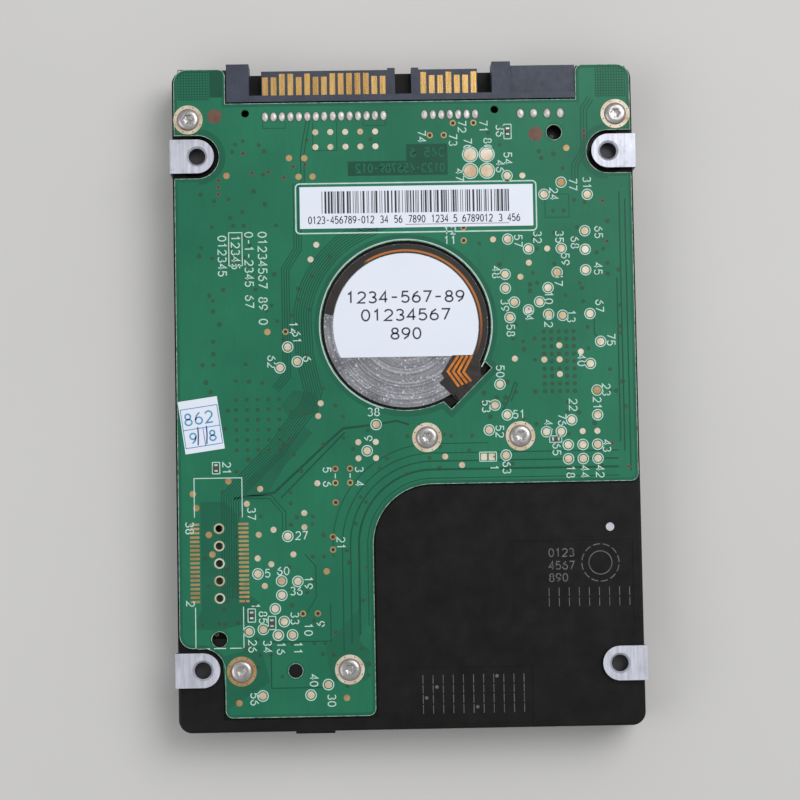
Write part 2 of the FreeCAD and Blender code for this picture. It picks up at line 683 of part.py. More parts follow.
def top_cover():
    """The stamped cover, with a dimple for each screw and a shallow seat for its label."""
    cover = body("top_cover")
    corners = rectangle(f"-{WALL_X}", WALL_REAR, WALL_X, WALL_FRONT)
    raise_up(cover, "cover_plate", "0", "cover_thickness", [corners])
    round_edges(cover, "cover_corners", upright_at(corners), "case_corner_radius")
    dimples = [(x, y, "dimple_radius") for x, y in COVER_SCREW_PLACES]
    raise_up(cover, "dimple_walls", "cover_thickness", "dimple_depth", circles=dimples)
    recesses = [(x, y, "dimple_radius - 0.5") for x, y in COVER_SCREW_PLACES]
    sink(cover, "dimple_recesses", "dimple_depth", "dimple_depth + 1", circles=recesses)
    holes = [(x, y, "cover_screw_radius + 0.1") for x, y in COVER_SCREW_PLACES]
    sink(cover, "cover_holes", "cover_thickness + dimple_depth + 1", "5", circles=holes)
    sink(cover, "label_seat", "0.12", "1", [rectangle(*LABEL_LOW, *LABEL_HIGH)])
    sink(cover, "breather_hole", "cover_thickness + 1", "3", circles=[(*BREATHER_PLACE, "breather_radius")])
    return node("top_cover", cover)


def cover_screw(name, x, y):
    head = rod(f"{name}_head", x, y, "0.5 - cover_screw_head_height", "cover_screw_head_radius",
               "cover_screw_head_height")
    shank = rod(f"{name}_shank", x, y, "0.5", "cover_screw_radius", "cover_screw_length")
    star = prism(f"{name}_star", x, y, "0.5 - cover_screw_head_height", "star_radius", "star_depth - 0.06")
    return cut(name, fuse(f"{name}_solid", head, shank), star)


def cover_screws():
    made = [cover_screw(f"cover_screw_{i + 1}", x, y) for i, (x, y) in enumerate(COVER_SCREW_PLACES[:4])]
    node("cover_screws", group("cover_screw_group", *made))
    node("pivot_screw", cover_screw("pivot_top_screw", *PIVOT))


def prism(name, x, y, z, radius, height):
    """A six-sided block, as a driver's socket."""
    made = doc.addObject("Part::Prism", name)
    made.Polygon = 6
    return bind(made, Circumradius=radius, Height=height, Placement__Base__x=x, Placement__Base__y=y,
                Placement__Base__z=z)


def cover_trim():
    """The cover's label and the breather's filter behind its hole."""
    x, y = LABEL_LOW
    far_x, far_y = LABEL_HIGH
    plate = box("label_sheet", f"{x} + 0.15", f"{y} + 0.15", "0.12 - label_thickness",
                f"{far_x} - {x} - 0.3", f"{far_y} - {y} - 0.3", "label_thickness")
    window = rod("label_window", "0", SPIN_Y, "0", "6.3", "0.3")
    hole = rod("label_vent", *BREATHER_PLACE, "0", "breather_radius + 0.6", "0.3")
    dot = rod("spindle_seal_disc", "0", SPIN_Y, "0.12 - label_thickness", "5.8", "label_thickness")
    node("cover_labels", group("cover_label_group", cut("cover_label_cut", plate, window, hole), dot))
    filter_body = rod("filter_disc", *BREATHER_PLACE, "cover_thickness", "3.2", "0.9")
    node("breather_filter",
         cut("breather_filter_cut", filter_body, rod("filter_bore", *BREATHER_PLACE, "0", "0.6", "0.9")))


# ---------------------------------------------------------------- spindle motor and discs
def motor_stator():
    """The cup pressed into the base, with the stator, its windings and the fixed bearing sleeve."""
    plate_low = f"({CUP_FACE} - cup_plate)"
    cup = cut("cup_shell",
              rod("cup_block", *SPINDLE, FLOOR, "cup_radius", f"{CUP_FACE} - {FLOOR}"),
              rod("cup_hollow", *SPINDLE, f"{FLOOR} - 1", "cup_radius - cup_wall",
                  f"{plate_low} - {FLOOR} + 1"))
    boss = ring("cup_boss", *SPINDLE, f"{FLOOR} + 0.1", "cup_boss_radius", "sleeve_radius",
                f"{plate_low} - {FLOOR} - 0.1")
    node("motor_cup", fuse("cup_and_boss", cup, boss))
    sleeve_low = f"({STACK_TOP} + hub_flange_thickness + 0.1)"
    sleeve = cut("sleeve_bored",
                 rod("sleeve_block", *SPINDLE, sleeve_low, "sleeve_radius", f"{plate_low} - {sleeve_low}"),
                 rod("sleeve_bore", *SPINDLE, f"{sleeve_low} - 1", "shaft_radius + shaft_clearance", "5"),
                 rod("sleeve_step", *SPINDLE, f"{plate_low} - 0.5", "2.15", "1"))
    node("bearing_sleeve", sleeve)
    node("bearing_cap", rod("bearing_cap_disc", *SPINDLE, f"{plate_low} - 0.24", "2.15", "0.24"))
    magnet = "(skirt_radius + rotor_magnet_thickness)"
    core_low = f"({plate_low} - 0.5 - stator_height)"
    yoke = ring("stator_yoke", *SPINDLE, core_low, "cup_radius - cup_wall", "cup_radius - cup_wall - 0.9",
                "stator_height")
    teeth, coils = [], []
    for i in range(int(SIZES["stator_teeth"])):
        turn = f"{i} * 360 / stator_teeth"
        inner = f"({magnet} + stator_air_gap)"
        reach = f"(cup_radius - cup_wall - 0.5 - {inner})"
        teeth.append(box(f"tooth_{i}", inner, "-0.6", core_low, reach, "1.2", "stator_height", turn,
                         SPINDLE))
        outer = box(f"winding_block_{i}", f"({inner} + 0.45)", "-1.15", f"{core_low} - 0.3",
                    f"{reach} - 0.95", "2.3",
                    "stator_height + 0.6", turn, SPINDLE)
        core = box(f"winding_core_{i}", f"({inner} + 0.3)", "-0.6", core_low, f"{reach}", "1.2",
                   "stator_height", turn, SPINDLE)
        coils.append(cut(f"winding_{i}", outer, core))
    node("stator_core", fuse("stator_laminations", yoke, *teeth))
    node("stator_windings", group("winding_group", *coils))


def spindle_rotor():
    """Everything that turns: shaft, hub, magnet, discs, spacer and clamp."""
    shaft_low = f"({DISC_COVER} - 0.1)"
    flange_low = f"({CUP_FACE} - cup_plate - 0.44)"
    shaft = rod("shaft_rod", *SPINDLE, shaft_low, "shaft_radius", f"{flange_low} - {shaft_low}")
    thrust = rod("shaft_flange", *SPINDLE, flange_low, "2.05", "0.16")
    hole = rod("shaft_hole", *SPINDLE, f"{shaft_low} - 1", "0.8", "3.2")
    node("spindle_shaft", cut("shaft_drilled", fuse("shaft_whole", shaft, thrust), hole))
    core = rod("hub_core", *SPINDLE, DISC_COVER, "disc_bore_radius - hub_clearance",
               f"{STACK_TOP} - {DISC_COVER}")
    flange = rod("hub_flange", *SPINDLE, STACK_TOP, "hub_flange_radius", "hub_flange_thickness")
    skirt_low = f"({STACK_TOP} + hub_flange_thickness)"
    skirt = ring("hub_skirt", *SPINDLE, skirt_low, "skirt_radius", "skirt_radius - skirt_wall",
                 "skirt_height")
    bore = rod("hub_bore", *SPINDLE, "0", "shaft_radius", "9")
    node("rotor_hub", cut("hub_bored", fuse("hub_whole", core, flange, skirt), bore))
    node("rotor_magnet",
         ring("rotor_magnet_ring", *SPINDLE, f"{skirt_low} + 0.1", "skirt_radius + rotor_magnet_thickness",
                              "skirt_radius", "skirt_height - 0.1"))
    node("disc_cover_side",
         ring("disc_1", *SPINDLE, DISC_COVER, DISC, "disc_bore_radius", "disc_thickness"))
    node("disc_spacer",
         ring("spacer", *SPINDLE, f"{DISC_COVER} + disc_thickness", "spacer_radius", "disc_bore_radius",
                             "spacer_thickness"))
    node("disc_base_side", ring("disc_2", *SPINDLE, DISC_BASE, DISC, "disc_bore_radius", "disc_thickness"))
    plate = rod("clamp_disc", *SPINDLE, f"{DISC_COVER} - clamp_plate", "clamp_radius", "clamp_plate")
    seat = rod("clamp_shaft_seat", *SPINDLE, shaft_low, "shaft_radius + 0.05", "1")
    clamp_hole = rod("clamp_hole", *SPINDLE, "0", "0.9", "3")
    spots = [rod(f"clamp_slot_{i}", f"6.5 * cos({i * 60})", f"{SPIN_Y} + 6.5 * sin({i * 60})", "0", "0.8",
                 "3") for i in range(6)]
    node("disc_clamp", cut("clamp_cut", plate, seat, clamp_hole, *spots))
    head_low = f"({DISC_COVER} - clamp_plate - 0.55)"
    head = rod("clamp_screw_head", *SPINDLE, head_low, "2.0", "0.55")
    shank = rod("clamp_screw_shank", *SPINDLE, f"{head_low} + 0.5", "0.8", "2.3")
    star = prism("clamp_screw_star", *SPINDLE, head_low, "star_radius", "star_depth")
    node("clamp_screw", cut("clamp_screw_cut", fuse("clamp_screw_whole", head, shank), star))


# ---------------------------------------------------------------- head actuator and voice coil motor
ARM_LEVELS = [(ARM_COVER, "end_arm_thickness"), (ARM_MIDDLE, MIDDLE_ARM), (ARM_BASE, "end_arm_thickness")]
BEAM_LEVELS = [
    (f"({ARM_COVER} + end_arm_thickness)", 1),
    (f"({ARM_MIDDLE} - suspension_thickness)", -1),
    (f"({ARM_MIDDLE} + {MIDDLE_ARM})", 1),
    (f"({ARM_BASE} - suspension_thickness)", -1),
]


def along_arm(along, across):
    """A point given along the parked arm from the pivot, and across it to the left."""
    return (f"({PIVOT_X} + {along} * cos({PARK_ANGLE}) - {across} * sin({PARK_ANGLE}))",
            f"({PIVOT_Y} + {along} * sin({PARK_ANGLE}) + {across} * cos({PARK_ANGLE}))")


def actuator_comb():
    """The block that turns on the pivot, with three arms."""
    comb = body("actuator_comb")
    raise_up(comb, "comb_block", ARM_COVER, f"{COMB_TOP} - {ARM_COVER}", circles=[(*PIVOT, "comb_radius")])
    arm = [along_arm("2", "arm_root_half"), along_arm("2", "(-arm_root_half)"),
           along_arm("arm_length", "(-arm_tip_half)"), along_arm("arm_length", "arm_tip_half")]
    lug = rectangle(f"({PIVOT_X} - comb_radius - 0.5)", f"({PIVOT_Y} - 4.2)", PIVOT_X, f"({PIVOT_Y} - 0.6)")
    for i, (level, thick) in enumerate(ARM_LEVELS):
        raise_up(comb, f"arm_{i + 1}", level, thick, [arm])
    raise_up(comb, "flex_lug", f"{ARM_COVER} + 0.8", f"{COMB_TOP} - {ARM_COVER} - 1.2", [lug])
    sink(comb, "pivot_bore", f"{COMB_TOP} + 1", "9", circles=[(*PIVOT, "pivot_sleeve_radius")])
    lightening = [(*along_arm("12.5", "0"), "1.7"), (*along_arm("18", "0"), "1.2")]
    sink(comb, "arm_holes", f"{COMB_TOP} + 1", "9", circles=lightening)
    sink(comb, "swage_holes", f"{COMB_TOP} + 1", "9",
         circles=[(*along_arm("(arm_length - 2.2)", "0"), "0.9")])
    return node("actuator_comb", comb)


def head_suspensions():
    """Four spring beams on the arms' tips, each with its lift tab, and the four sliders."""
    beams, sliders = [], []
    outline = [("(arm_length - 5)", "1.7"), ("(arm_length - 5)", "(-1.7)"),
               ("(arm_length - 0.5)", "(-2.1)"),
               (f"({HEAD_REACH} - 1)", "(-0.6)"), (f"({HEAD_REACH} + tab_reach)", "(-0.3)"),
               (f"({HEAD_REACH} + tab_reach)", "0.3"), (f"({HEAD_REACH} - 1)", "0.6"),
               ("(arm_length - 0.5)", "2.1")]
    for i, (level, facing) in enumerate(BEAM_LEVELS):
        beam = body(f"load_beam_{i + 1}")
        raise_up(beam, f"beam_{i + 1}", level, "suspension_thickness",
                 [[along_arm(a, b) for a, b in outline]])
        beams.append(beam)
        low = f"({level} + suspension_thickness)" if facing > 0 else f"({level} - slider_height)"
        slider = body(f"slider_{i + 1}")
        shape = [(f"({HEAD_REACH} - 0.6)", "0.5"), (f"({HEAD_REACH} - 0.6)", "(-0.5)"),
                 (f"({HEAD_REACH} + 0.6)", "(-0.5)"), (f"({HEAD_REACH} + 0.6)", "0.5")]
        raise_up(slider, f"slider_block_{i + 1}", low, "slider_height",
                 [[along_arm(a, b) for a, b in shape]])
        sliders.append(slider)
    node("head_suspensions", group("beam_group", *beams))
    node("head_sliders", group("slider_group", *sliders))


def pivot_bearing():
    """The fixed shaft, two ball bearings and the sleeve that the comb turns on."""
    top = "(cover_thickness + dimple_depth)"
    shaft = rod("pivot_rod", *PIVOT, top, "pivot_shaft_radius", f"{WELL} - {top}")
    foot = rod("pivot_foot", *PIVOT, f"{COMB_TOP} + 0.3", "3.2", f"{WELL} - {COMB_TOP} - 0.3")
    thread = rod("pivot_thread", *PIVOT, "0", "cover_screw_radius",
                 "cover_thickness + cover_screw_length + 0.2")
    node("pivot_shaft", cut("pivot_shaft_cut", fuse("pivot_shaft_whole", shaft, foot), thread))
    inside = "(pivot_sleeve_radius - pivot_sleeve_wall)"
    node("pivot_sleeve",
         ring("pivot_sleeve_tube", *PIVOT, f"{ARM_COVER} + 0.1", "pivot_sleeve_radius", inside,
                              f"{COMB_TOP} - {ARM_COVER} - 0.2"))
    inner_races, outer_races, balls = [], [], []
    track = f"((pivot_shaft_radius + 0.45 + {inside} - 0.45) / 2)"
    for i, low in enumerate((f"({top} + 0.2)", f"({COMB_TOP} - 0.3 - bearing_height)")):
        inner_races.append(ring(f"inner_race_{i}", *PIVOT, low, "pivot_shaft_radius + 0.45",
                                "pivot_shaft_radius", "bearing_height"))
        outer_races.append(ring(f"outer_race_{i}", *PIVOT, low, inside, f"{inside} - 0.45",
                                "bearing_height"))
        for j in range(8):
            ball = doc.addObject("Part::Sphere", f"ball_{i}_{j}")
            bind(ball, Radius="bearing_ball_radius",
                 Placement__Base__x=f"{PIVOT_X} + {track} * cos({45 * j})",
                 Placement__Base__y=f"{PIVOT_Y} + {track} * sin({45 * j})",
                 Placement__Base__z=f"{low} + bearing_height / 2")
            balls.append(ball)
    node("bearing_inner_races", group("inner_race_group", *inner_races))
    node("bearing_outer_races", group("outer_race_group", *outer_races))
    node("bearing_balls", group("ball_group", *balls))


def coil_slice(name, z, outer, inner, angle, middle, height):
    """A ring slice about the pivot, centred on the angle middle."""
    return sector(name, PIVOT, z, outer, inner, f"({middle} - ({angle}) / 2)", angle, height)


def voice_coil():
    """The moving coil and the moulded frame that holds it on the comb."""
    window_angle = "(coil_angle - 2 * asin(coil_band / (coil_inner + coil_outer) * 2) / 1deg)"
    whole = coil_slice("coil_slice", COIL, "coil_outer", "coil_inner", "coil_angle", COIL_ANGLE,
                       "coil_thickness")
    window = coil_slice("coil_window", COIL, "coil_outer - coil_band", "coil_inner + coil_band",
                        window_angle,
                        COIL_ANGLE, "coil_thickness")
    node("voice_coil", cut("coil_loop", whole, window))
    frame = coil_slice("frame_slice", COIL, "coil_outer + frame_margin", "comb_radius", "frame_angle",
                       COIL_ANGLE, "coil_thickness")
    seat = coil_slice("frame_seat", COIL, "coil_outer", "coil_inner", "coil_angle", COIL_ANGLE,
                      "coil_thickness")
    node("coil_frame", cut("coil_frame_cut", frame, seat))


def motor_place(angle, radius):
    return (f"({PIVOT_X} + {radius} * cos({angle}))", f"({PIVOT_Y} + {radius} * sin({angle}))")


def voice_coil_motor():
    """Two yokes with their magnets above and below the coil, and the rubber-sleeved stops between them."""
    levels = {"cover_side": (YOKE_COVER, MAGNET_COVER), "base_side": (YOKE_BASE, MAGNET_BASE)}
    reach = f"({SWING} / 2 + frame_angle / 2 + stop_gap_angle)"
    stops = [motor_place(f"({MOTOR_ANGLE} {sign} {reach})", "post_reach") for sign in "+-"]
    magnets = []
    for side, (yoke, magnet) in levels.items():
        plate = coil_slice(f"yoke_plate_{side}", yoke, "yoke_outer", "yoke_inner",
                           f"(2 * {reach} + yoke_margin_angle)",
                           MOTOR_ANGLE, "yoke_thickness")
        node(f"vcm_yoke_{side}", plate)
        magnets.append(coil_slice(f"magnet_{side}", magnet, "magnet_outer", "magnet_inner",
                                  f"({SWING} + coil_angle - 6)", MOTOR_ANGLE, "magnet_thickness"))
    node("vcm_magnets", group("magnet_group", *magnets))
    low = f"({YOKE_COVER} + yoke_thickness)"
    posts = [rod(f"stop_post_{i}", x, y, low, "stop_core_radius", f"{YOKE_BASE} - {low}") for i,
             (x, y) in enumerate(stops)]
    sleeves = [ring(f"stop_sleeve_{i}", x, y, f"{COIL} - 0.2", "stop_radius", "stop_core_radius",
                    "coil_thickness + 0.4")
               for i, (x, y) in enumerate(stops)]
    node("vcm_posts", group("post_group", *posts))
    node("crash_stops", group("sleeve_group", *sleeves))


def actuator_latch():
    """The shock latch beside the coil: a small lever on its own pin."""
    x, y = f"({PIVOT_X} + latch_offset)", f"({PIVOT_Y} + latch_rise)"
    pin = rod("latch_pin_rod", x, y, f"{COIL} - 0.5", "latch_pin_radius", f"{WELL} - {COIL} + 0.5")
    node("latch_pin", pin)
    hub = rod("latch_hub", x, y, COIL, "1.6", "coil_thickness")
    lever = box("latch_lever", f"{x} + 0.1", f"{y} - 6.8", COIL, "1.2", "6.8", "coil_thickness")
    hook = box("latch_hook", f"{x} - 0.3", f"{y} - 7.3", COIL, "1.6", "0.9", "coil_thickness")
    weight = box("latch_weight", f"{x} - 4.6", f"{y} + 0.2", COIL, "4.2", "1.3", "coil_thickness")
    bore = rod("latch_bore", x, y, "0", "latch_pin_radius + latch_clearance", "9")
    node("actuator_latch", cut("latch_cut", fuse("latch_whole", hub, lever, hook, weight), bore))


def load_ramp():
    """The plastic ramp that the lift tabs park on, with a blade between each pair of beams."""
    start = f"({PARK_ANGLE} - 2.4)"
    inner = f"({HEAD_REACH} + tab_reach - 1.3)"
    root = f"({HEAD_REACH} + tab_reach + 0.8)"
    block = sector("ramp_block", PIVOT, f"{SEAT} + 0.1", f"{root} + 3.4", root, start, "9",
                   f"{FLOOR} - {SEAT} - 0.1")
    parts = [block]
    for i in (0, 2):
        low = f"({BEAM_LEVELS[i][0]} + suspension_thickness + 0.04)"
        high = f"({BEAM_LEVELS[i + 1][0]} - 0.04)"
        parts.append(sector(f"ramp_blade_{i}", PIVOT, low, f"{root} + 0.1", inner, start, "9",
                            f"{high} - {low}"))
    node("load_ramp", fuse("ramp_whole", *parts))


def inner_flex():
    """The flexible circuit from the comb to the bracket, the bracket with its socket, and the preamplifier."""
    bend = "flex_bend"
    lug_x = f"({PIVOT_X} - comb_radius - 0.5)"
    half = "flex_thickness / 2"
    low, high = f"({ARM_COVER} + 0.9)", f"({COMB_TOP} - {ARM_COVER} - 1.4)"
    line_x = f"({lug_x} - {half})"
    turn_y = f"({PIVOT_Y} - 6)"
    far_x = f"(flex_landing - {LEG_SIDE})"
    legs = [
        box("flex_start", f"{line_x} - {half}", turn_y, low, "flex_thickness",
            f"{PIVOT_Y} - 1.4 - {turn_y}", high),
        sector("flex_bend_1", (f"({line_x} - {bend})", turn_y), low, f"{bend} + {half}", f"{bend} - {half}",
               "270", "90", high),
        box("flex_run", f"{far_x} + {bend}", f"{turn_y} - {bend} - {half}", low,
            f"{line_x} - {far_x} - 2 * {bend}",
            "flex_thickness", high),
        sector("flex_bend_2", (f"({far_x} + {bend})", turn_y), low, f"{bend} + {half}", f"{bend} - {half}",
               "180", "90", high),
        box("flex_end", f"{far_x} - {half}", turn_y, low, "flex_thickness", "5.5", high),
    ]
    node("actuator_flex", fuse("flex_whole", *legs))
    chip = box("preamp_block", f"{line_x} - {half} - 0.5", f"{PIVOT_Y} - 3.6", f"{low} + 0.6", "0.5", "2.2",
               "1.6")
    node("preamp_chip", chip)
    x, y = HEADER_PLACE
    left = f"({x} - header_width / 2 - 1.2)"
    plate = box("bracket_plate", left, f"{y} - header_length / 2 - 0.8", f"{FLOOR} - 0.6",
                f"{far_x} - {half} - {left}", "header_length + 1.6", "0.6")
    fin = box("bracket_fin", f"{far_x} - {half} - 0.7", f"{turn_y} + 0.4", low, "0.7", "5.2",
              f"{FLOOR} - {low}")
    socket_top = f"({BOARD} - header_socket_height)"
    socket = box("bracket_socket", f"{x} - header_width / 2", f"{y} - header_length / 2", f"{FLOOR} - 0.1",
                 "header_width", "header_length", f"{socket_top} - {FLOOR} + 0.1")
    node("flex_bracket", fuse("bracket_whole", plate, fin, socket))


def air_cleaning():
    """The recirculation filter beside the discs and the drying packet."""
    slot = sector("filter_slice", SPINDLE, f"{SEAT} + 0.3", f"{WELL_X} + 2.6", f"{WELL_X} + 0.2", "207",
                  "9", f"{FLOOR} - {SEAT} - 0.6")
    node("recirculation_filter", slot)
    packet = box("packet_block", f"{WELL_X} - 5.6", f"{PLATEAU_Y} - 3.2", f"{SEAT} + 0.3", "5.2", "6.4",
                 f"{FLOOR} - {SEAT} - 0.5")
    node("drying_packet", packet)


# ---------------------------------------------------------------- circuit board and its parts
def circuit_board():
    """The board, cut round the lugs, the motor and the connector."""
    board = body("circuit_board")
    raise_up(board, "board_plate", BOARD, "board_thickness", [BOARD_OUTLINE])
    round_edges(board, "board_plateau_corner", upright_at([(LEG_X, PLATEAU_Y)]), "big_corner_radius")
    round_edges(board, "board_inner_corner", upright_at([(f"-{LEG_SIDE}", LEFT_REAR)]), "lug_boss_radius")
    outer = [(f"-{BOARD_X}", LEFT_REAR), (BOARD_X, WALL_FRONT), (f"-{BOARD_X}", WALL_FRONT)]
    round_edges(board, "board_corners", upright_at(outer), "board_corner_radius")
    small = [(f"-{LEG_SIDE}", LEG_REAR), (LEG_X, LEG_REAR), (BOARD_X, PLATEAU_Y), ("26.15", WALL_FRONT),
             ("-26.6", WALL_FRONT)]
    round_edges(board, "board_small_corners", upright_at(small), "board_small_radius")
    for side, sign in (("right", ""), ("left", "-")):
        x = f"{sign}{HOLE_X}"
        low, high = (x, f"({EDGE} + 1)") if side == "right" else (f"-({EDGE} + 1)", x)
        sink(board, f"{side}_lug_round", f"{BOARD_TOP} + 1", "3",
             circles=[(x, ROW_FRONT, "lug_cut_radius")])
        sink(board, f"{side}_lug_slot", f"{BOARD_TOP} + 1", "3",
             [rectangle(low, f"({ROW_FRONT} - lug_cut_radius)", high, f"({ROW_FRONT} + lug_cut_radius)")])
    sink(board, "motor_hole", f"{BOARD_TOP} + 1", "3", circles=[(*SPINDLE, "cup_radius + motor_hole_gap")])
    sink(board, "motor_notch", f"{BOARD_TOP} + 1", "3", [turned_about_motor(NOTCH_CORNERS, "-45")])
    sink(board, "screw_clearance", f"{BOARD_TOP} + 1", "3",
         circles=[(x, y, "screw_hole_radius") for x, y in BOARD_SCREW_PLACES])
    row = f"({FRONT} - contact_row_setback)"
    pins = [(x, row, "pin_hole_radius") for x in contact_places()]
    sink(board, "pin_holes", f"{BOARD_TOP} + 1", "3", circles=pins)
    tooling = [("22.8", f"({FRONT} - 11)", "tooling_hole_radius"),
               (f"({HEADER_PLACE[0]} - 0.1)", f"({LEFT_REAR} + 1.3)", "tooling_hole_radius"),
               (*LOCATING_PIN_PLACE, "locating_hole_radius"),
               ("-23.6", f"({FRONT} - 7.5)", "0.6"), ("13.9", f"({FRONT} - 7.4)", "0.6")]
    sink(board, "tooling_holes", f"{BOARD_TOP} + 1", "3", circles=tooling)
    tests = [(HEADER_PLACE[0], f"({HEADER_PLACE[1]} + 7.2 - {i} * test_hole_pitch)",
              "test_hole_radius") for i in range(5)]
    sink(board, "test_holes", f"{BOARD_TOP} + 1", "3", circles=tests)
    return node("circuit_board", board)


def board_screws():
    made = []
    for i, (x, y) in enumerate(BOARD_SCREW_PLACES):
        name = f"board_screw_{i + 1}"
        head = rod(f"{name}_head", x, y, BOARD_TOP, "screw_head_radius", "screw_head_height")
        shank = rod(f"{name}_shank", x, y, f"{BOARD_TOP} - screw_length", "screw_radius", "screw_length")
        star = prism(f"{name}_star", x, y, f"{BOARD_TOP} + screw_head_height - star_depth", "star_radius",
                     "star_depth")
        made.append(cut(name, fuse(f"{name}_solid", head, shank), star))
    node("board_screws", group("board_screw_group", *made))


CHIPS = {
    # name: middle x, middle y, size x, size y, height
    "controller_chip": ("-19.5", f"({SPIN_Y} - 17)", "12", "12", "1.2"),
    "motor_driver_chip": ("25", f"({PLATEAU_Y} + 13.5)", "8", "8", "0.9"),
    "memory_chip": ("-19", f"({SPIN_Y} + 15.5)", "8", "11.8", "1.1"),
}
SMALL_CHIPS = [
    ("1", f"({SPIN_Y} + 20)", "5.2", "4", "1.0"),
    ("-17", f"({HEADER_PLACE[1]} + 6)", "3.2", "2.5", "0.8"),
    ("14", f"({SPIN_Y} + 24)", "3.8", "1.6", "1.1"),
]


def hanging_block(name, x, y, along_x, along_y, height):
    """A block on the board's inner side."""
    return box(name, f"{x} - ({along_x}) / 2", f"{y} - ({along_y}) / 2", f"{BOARD} - {height}", along_x,
               along_y, height)


def board_parts():
    """The chips, small parts and spring contacts on the inner side, between board and base."""
    for name, (x, y, along_x, along_y, height) in CHIPS.items():
        node(name, hanging_block(f"{name}_block", x, y, along_x, along_y, height))
    node("small_chips", group("small_chip_group", *[hanging_block(f"small_chip_{i}", *chip)
                                                    for i, chip in enumerate(SMALL_CHIPS)]))
    small = []
    rows = [("-26", f"({SPIN_Y} - 9 + 2.2 * {{i}})", 8), ("20.5", f"({SPIN_Y} + 3 + 2.2 * {{i}})", 8),
            ("-12.2", f"({HEADER_PLACE[1]} - 6 + 2.2 * {{i}})", 8)]
    for row, (x, y, count) in enumerate(rows):
        for i in range(count):
            small.append(hanging_block(f"chip_part_{row}_{i}", x, y.format(i=i), "1.6", "0.8", "0.8"))
    node("chip_capacitors", group("chip_part_group", *small))
    x, y = HEADER_PLACE
    node("head_connector",
         hanging_block("head_plug", x, y, "header_width", "header_length", "header_socket_height"))
    springs = [box(f"motor_spring_{i}", "13.9", f"-2.35 + {i} * 1.3", f"{BOARD} - 0.35", "1.4", "0.8",
                   "0.35", "-45", SPINDLE)
               for i in range(4)]
    node("motor_contacts", group("motor_spring_group", *springs))
    sheet_low = f"({ROW_FRONT} - 8.5)"
    sheet_block = box("foam_block", "-19", f"{SPIN_Y} + 14.5", CAVITY, "38",
                      f"{sheet_low} - {SPIN_Y} - 14.5", "0.2")
    node("board_pads", group("pad_group", sheet_block, hanging_pad("driver_pad", "motor_driver_chip")))


def hanging_pad(name, chip):
    """A soft pad that fills the gap between a chip and the base."""
    x, y, along_x, along_y, height = CHIPS[chip]
    return box(name, f"{x} - ({along_x}) / 2 + 1", f"{y} - ({along_y}) / 2 + 1", CAVITY, f"{along_x} - 2",
               f"{along_y} - 2",
               f"{BOARD} - {height} - {CAVITY}")


def motor_flex():
    """The motor's flexible lead: a ring on the cup face and a tail that dips under the board's edge."""
    low = CUP_FACE
    band = sector("flex_ring", SPINDLE, low, "cup_radius - 0.05", "cup_radius - flex_ring_width", "-48",
                  "219", "flex_thickness")
    tail = box("flex_tail", "cup_radius - 2.7", "-2.7", low, "2.8 + flex_thickness", "5.4",
               "flex_thickness", "-45", SPINDLE)
    drop = box("flex_drop", "cup_radius + 0.1", "-2.7", f"{BOARD} - 0.45", "flex_thickness", "5.4",
               f"{CUP_FACE} - {BOARD} + 0.45", "-45", SPINDLE)
    foot = box("flex_foot", "cup_radius + 0.1", "-2.7", f"{BOARD} - 0.45", "motor_ring_width + 1.9", "5.4",
               "flex_thickness", "-45", SPINDLE)
    node("motor_flex", fuse("motor_flex_whole", band, tail, drop, foot))


def outside_labels():
    """The paper labels on the board side."""
    node("board_label",
         box("board_label_sheet", "-15.6", f"({SPIN_Y} + 14.7)", BOARD_TOP, "35", "6.3", "label_thickness"))
    disc = rod("motor_label_disc", *SPINDLE, CUP_FACE, "cup_radius - flex_ring_width - 0.1",
               "label_thickness")
    flat = box("motor_label_flat", "-15", f"{SPIN_Y} - 20", f"{CUP_FACE} - 1", "30", "15.3", "3")
    node("motor_label", cut("motor_label_cut", disc, flat))
    sticker = box("sticker_sheet", "0.1", "-7.9", BOARD_TOP, "5.9", "7.9", "label_thickness", "8",
                  (f"-{BOARD_X}", f"({SPIN_Y} - 11)"))
    node("date_sticker", sticker)


# ---------------------------------------------------------------- connector
def contact_places():
    """The middles of all soldered contacts, from left to right."""
    power = [f"(power_first + {i} * contact_pitch)" for i in range(15)]
    signal = [f"(signal_first + {i} * contact_pitch)" for i in range(7)]
    jumper = [f"(jumper_first + {i} * jumper_pitch)" for i in range(4)]
    return power + signal + jumper


def contact(name, x, short):
    """A contact strip on the tongue with its tail up through the board."""
    low = f"({TONGUE} - contact_thickness)"
    row = f"({FRONT} - contact_row_setback)"
    tip = f"({FRONT} - 1.1 - {short})"
    strip = box(f"{name}_strip", f"{x} - contact_width / 2", f"{row} - 0.2", low, "contact_width",
                f"{tip} - {row} + 0.2",
                "contact_thickness")
    tail = box(f"{name}_tail", f"{x} - 0.2", f"{row} - 0.2", low, "0.4", "0.4",
               f"{BOARD_TOP} + 0.15 - {low}")
    return fuse(name, strip, tail)


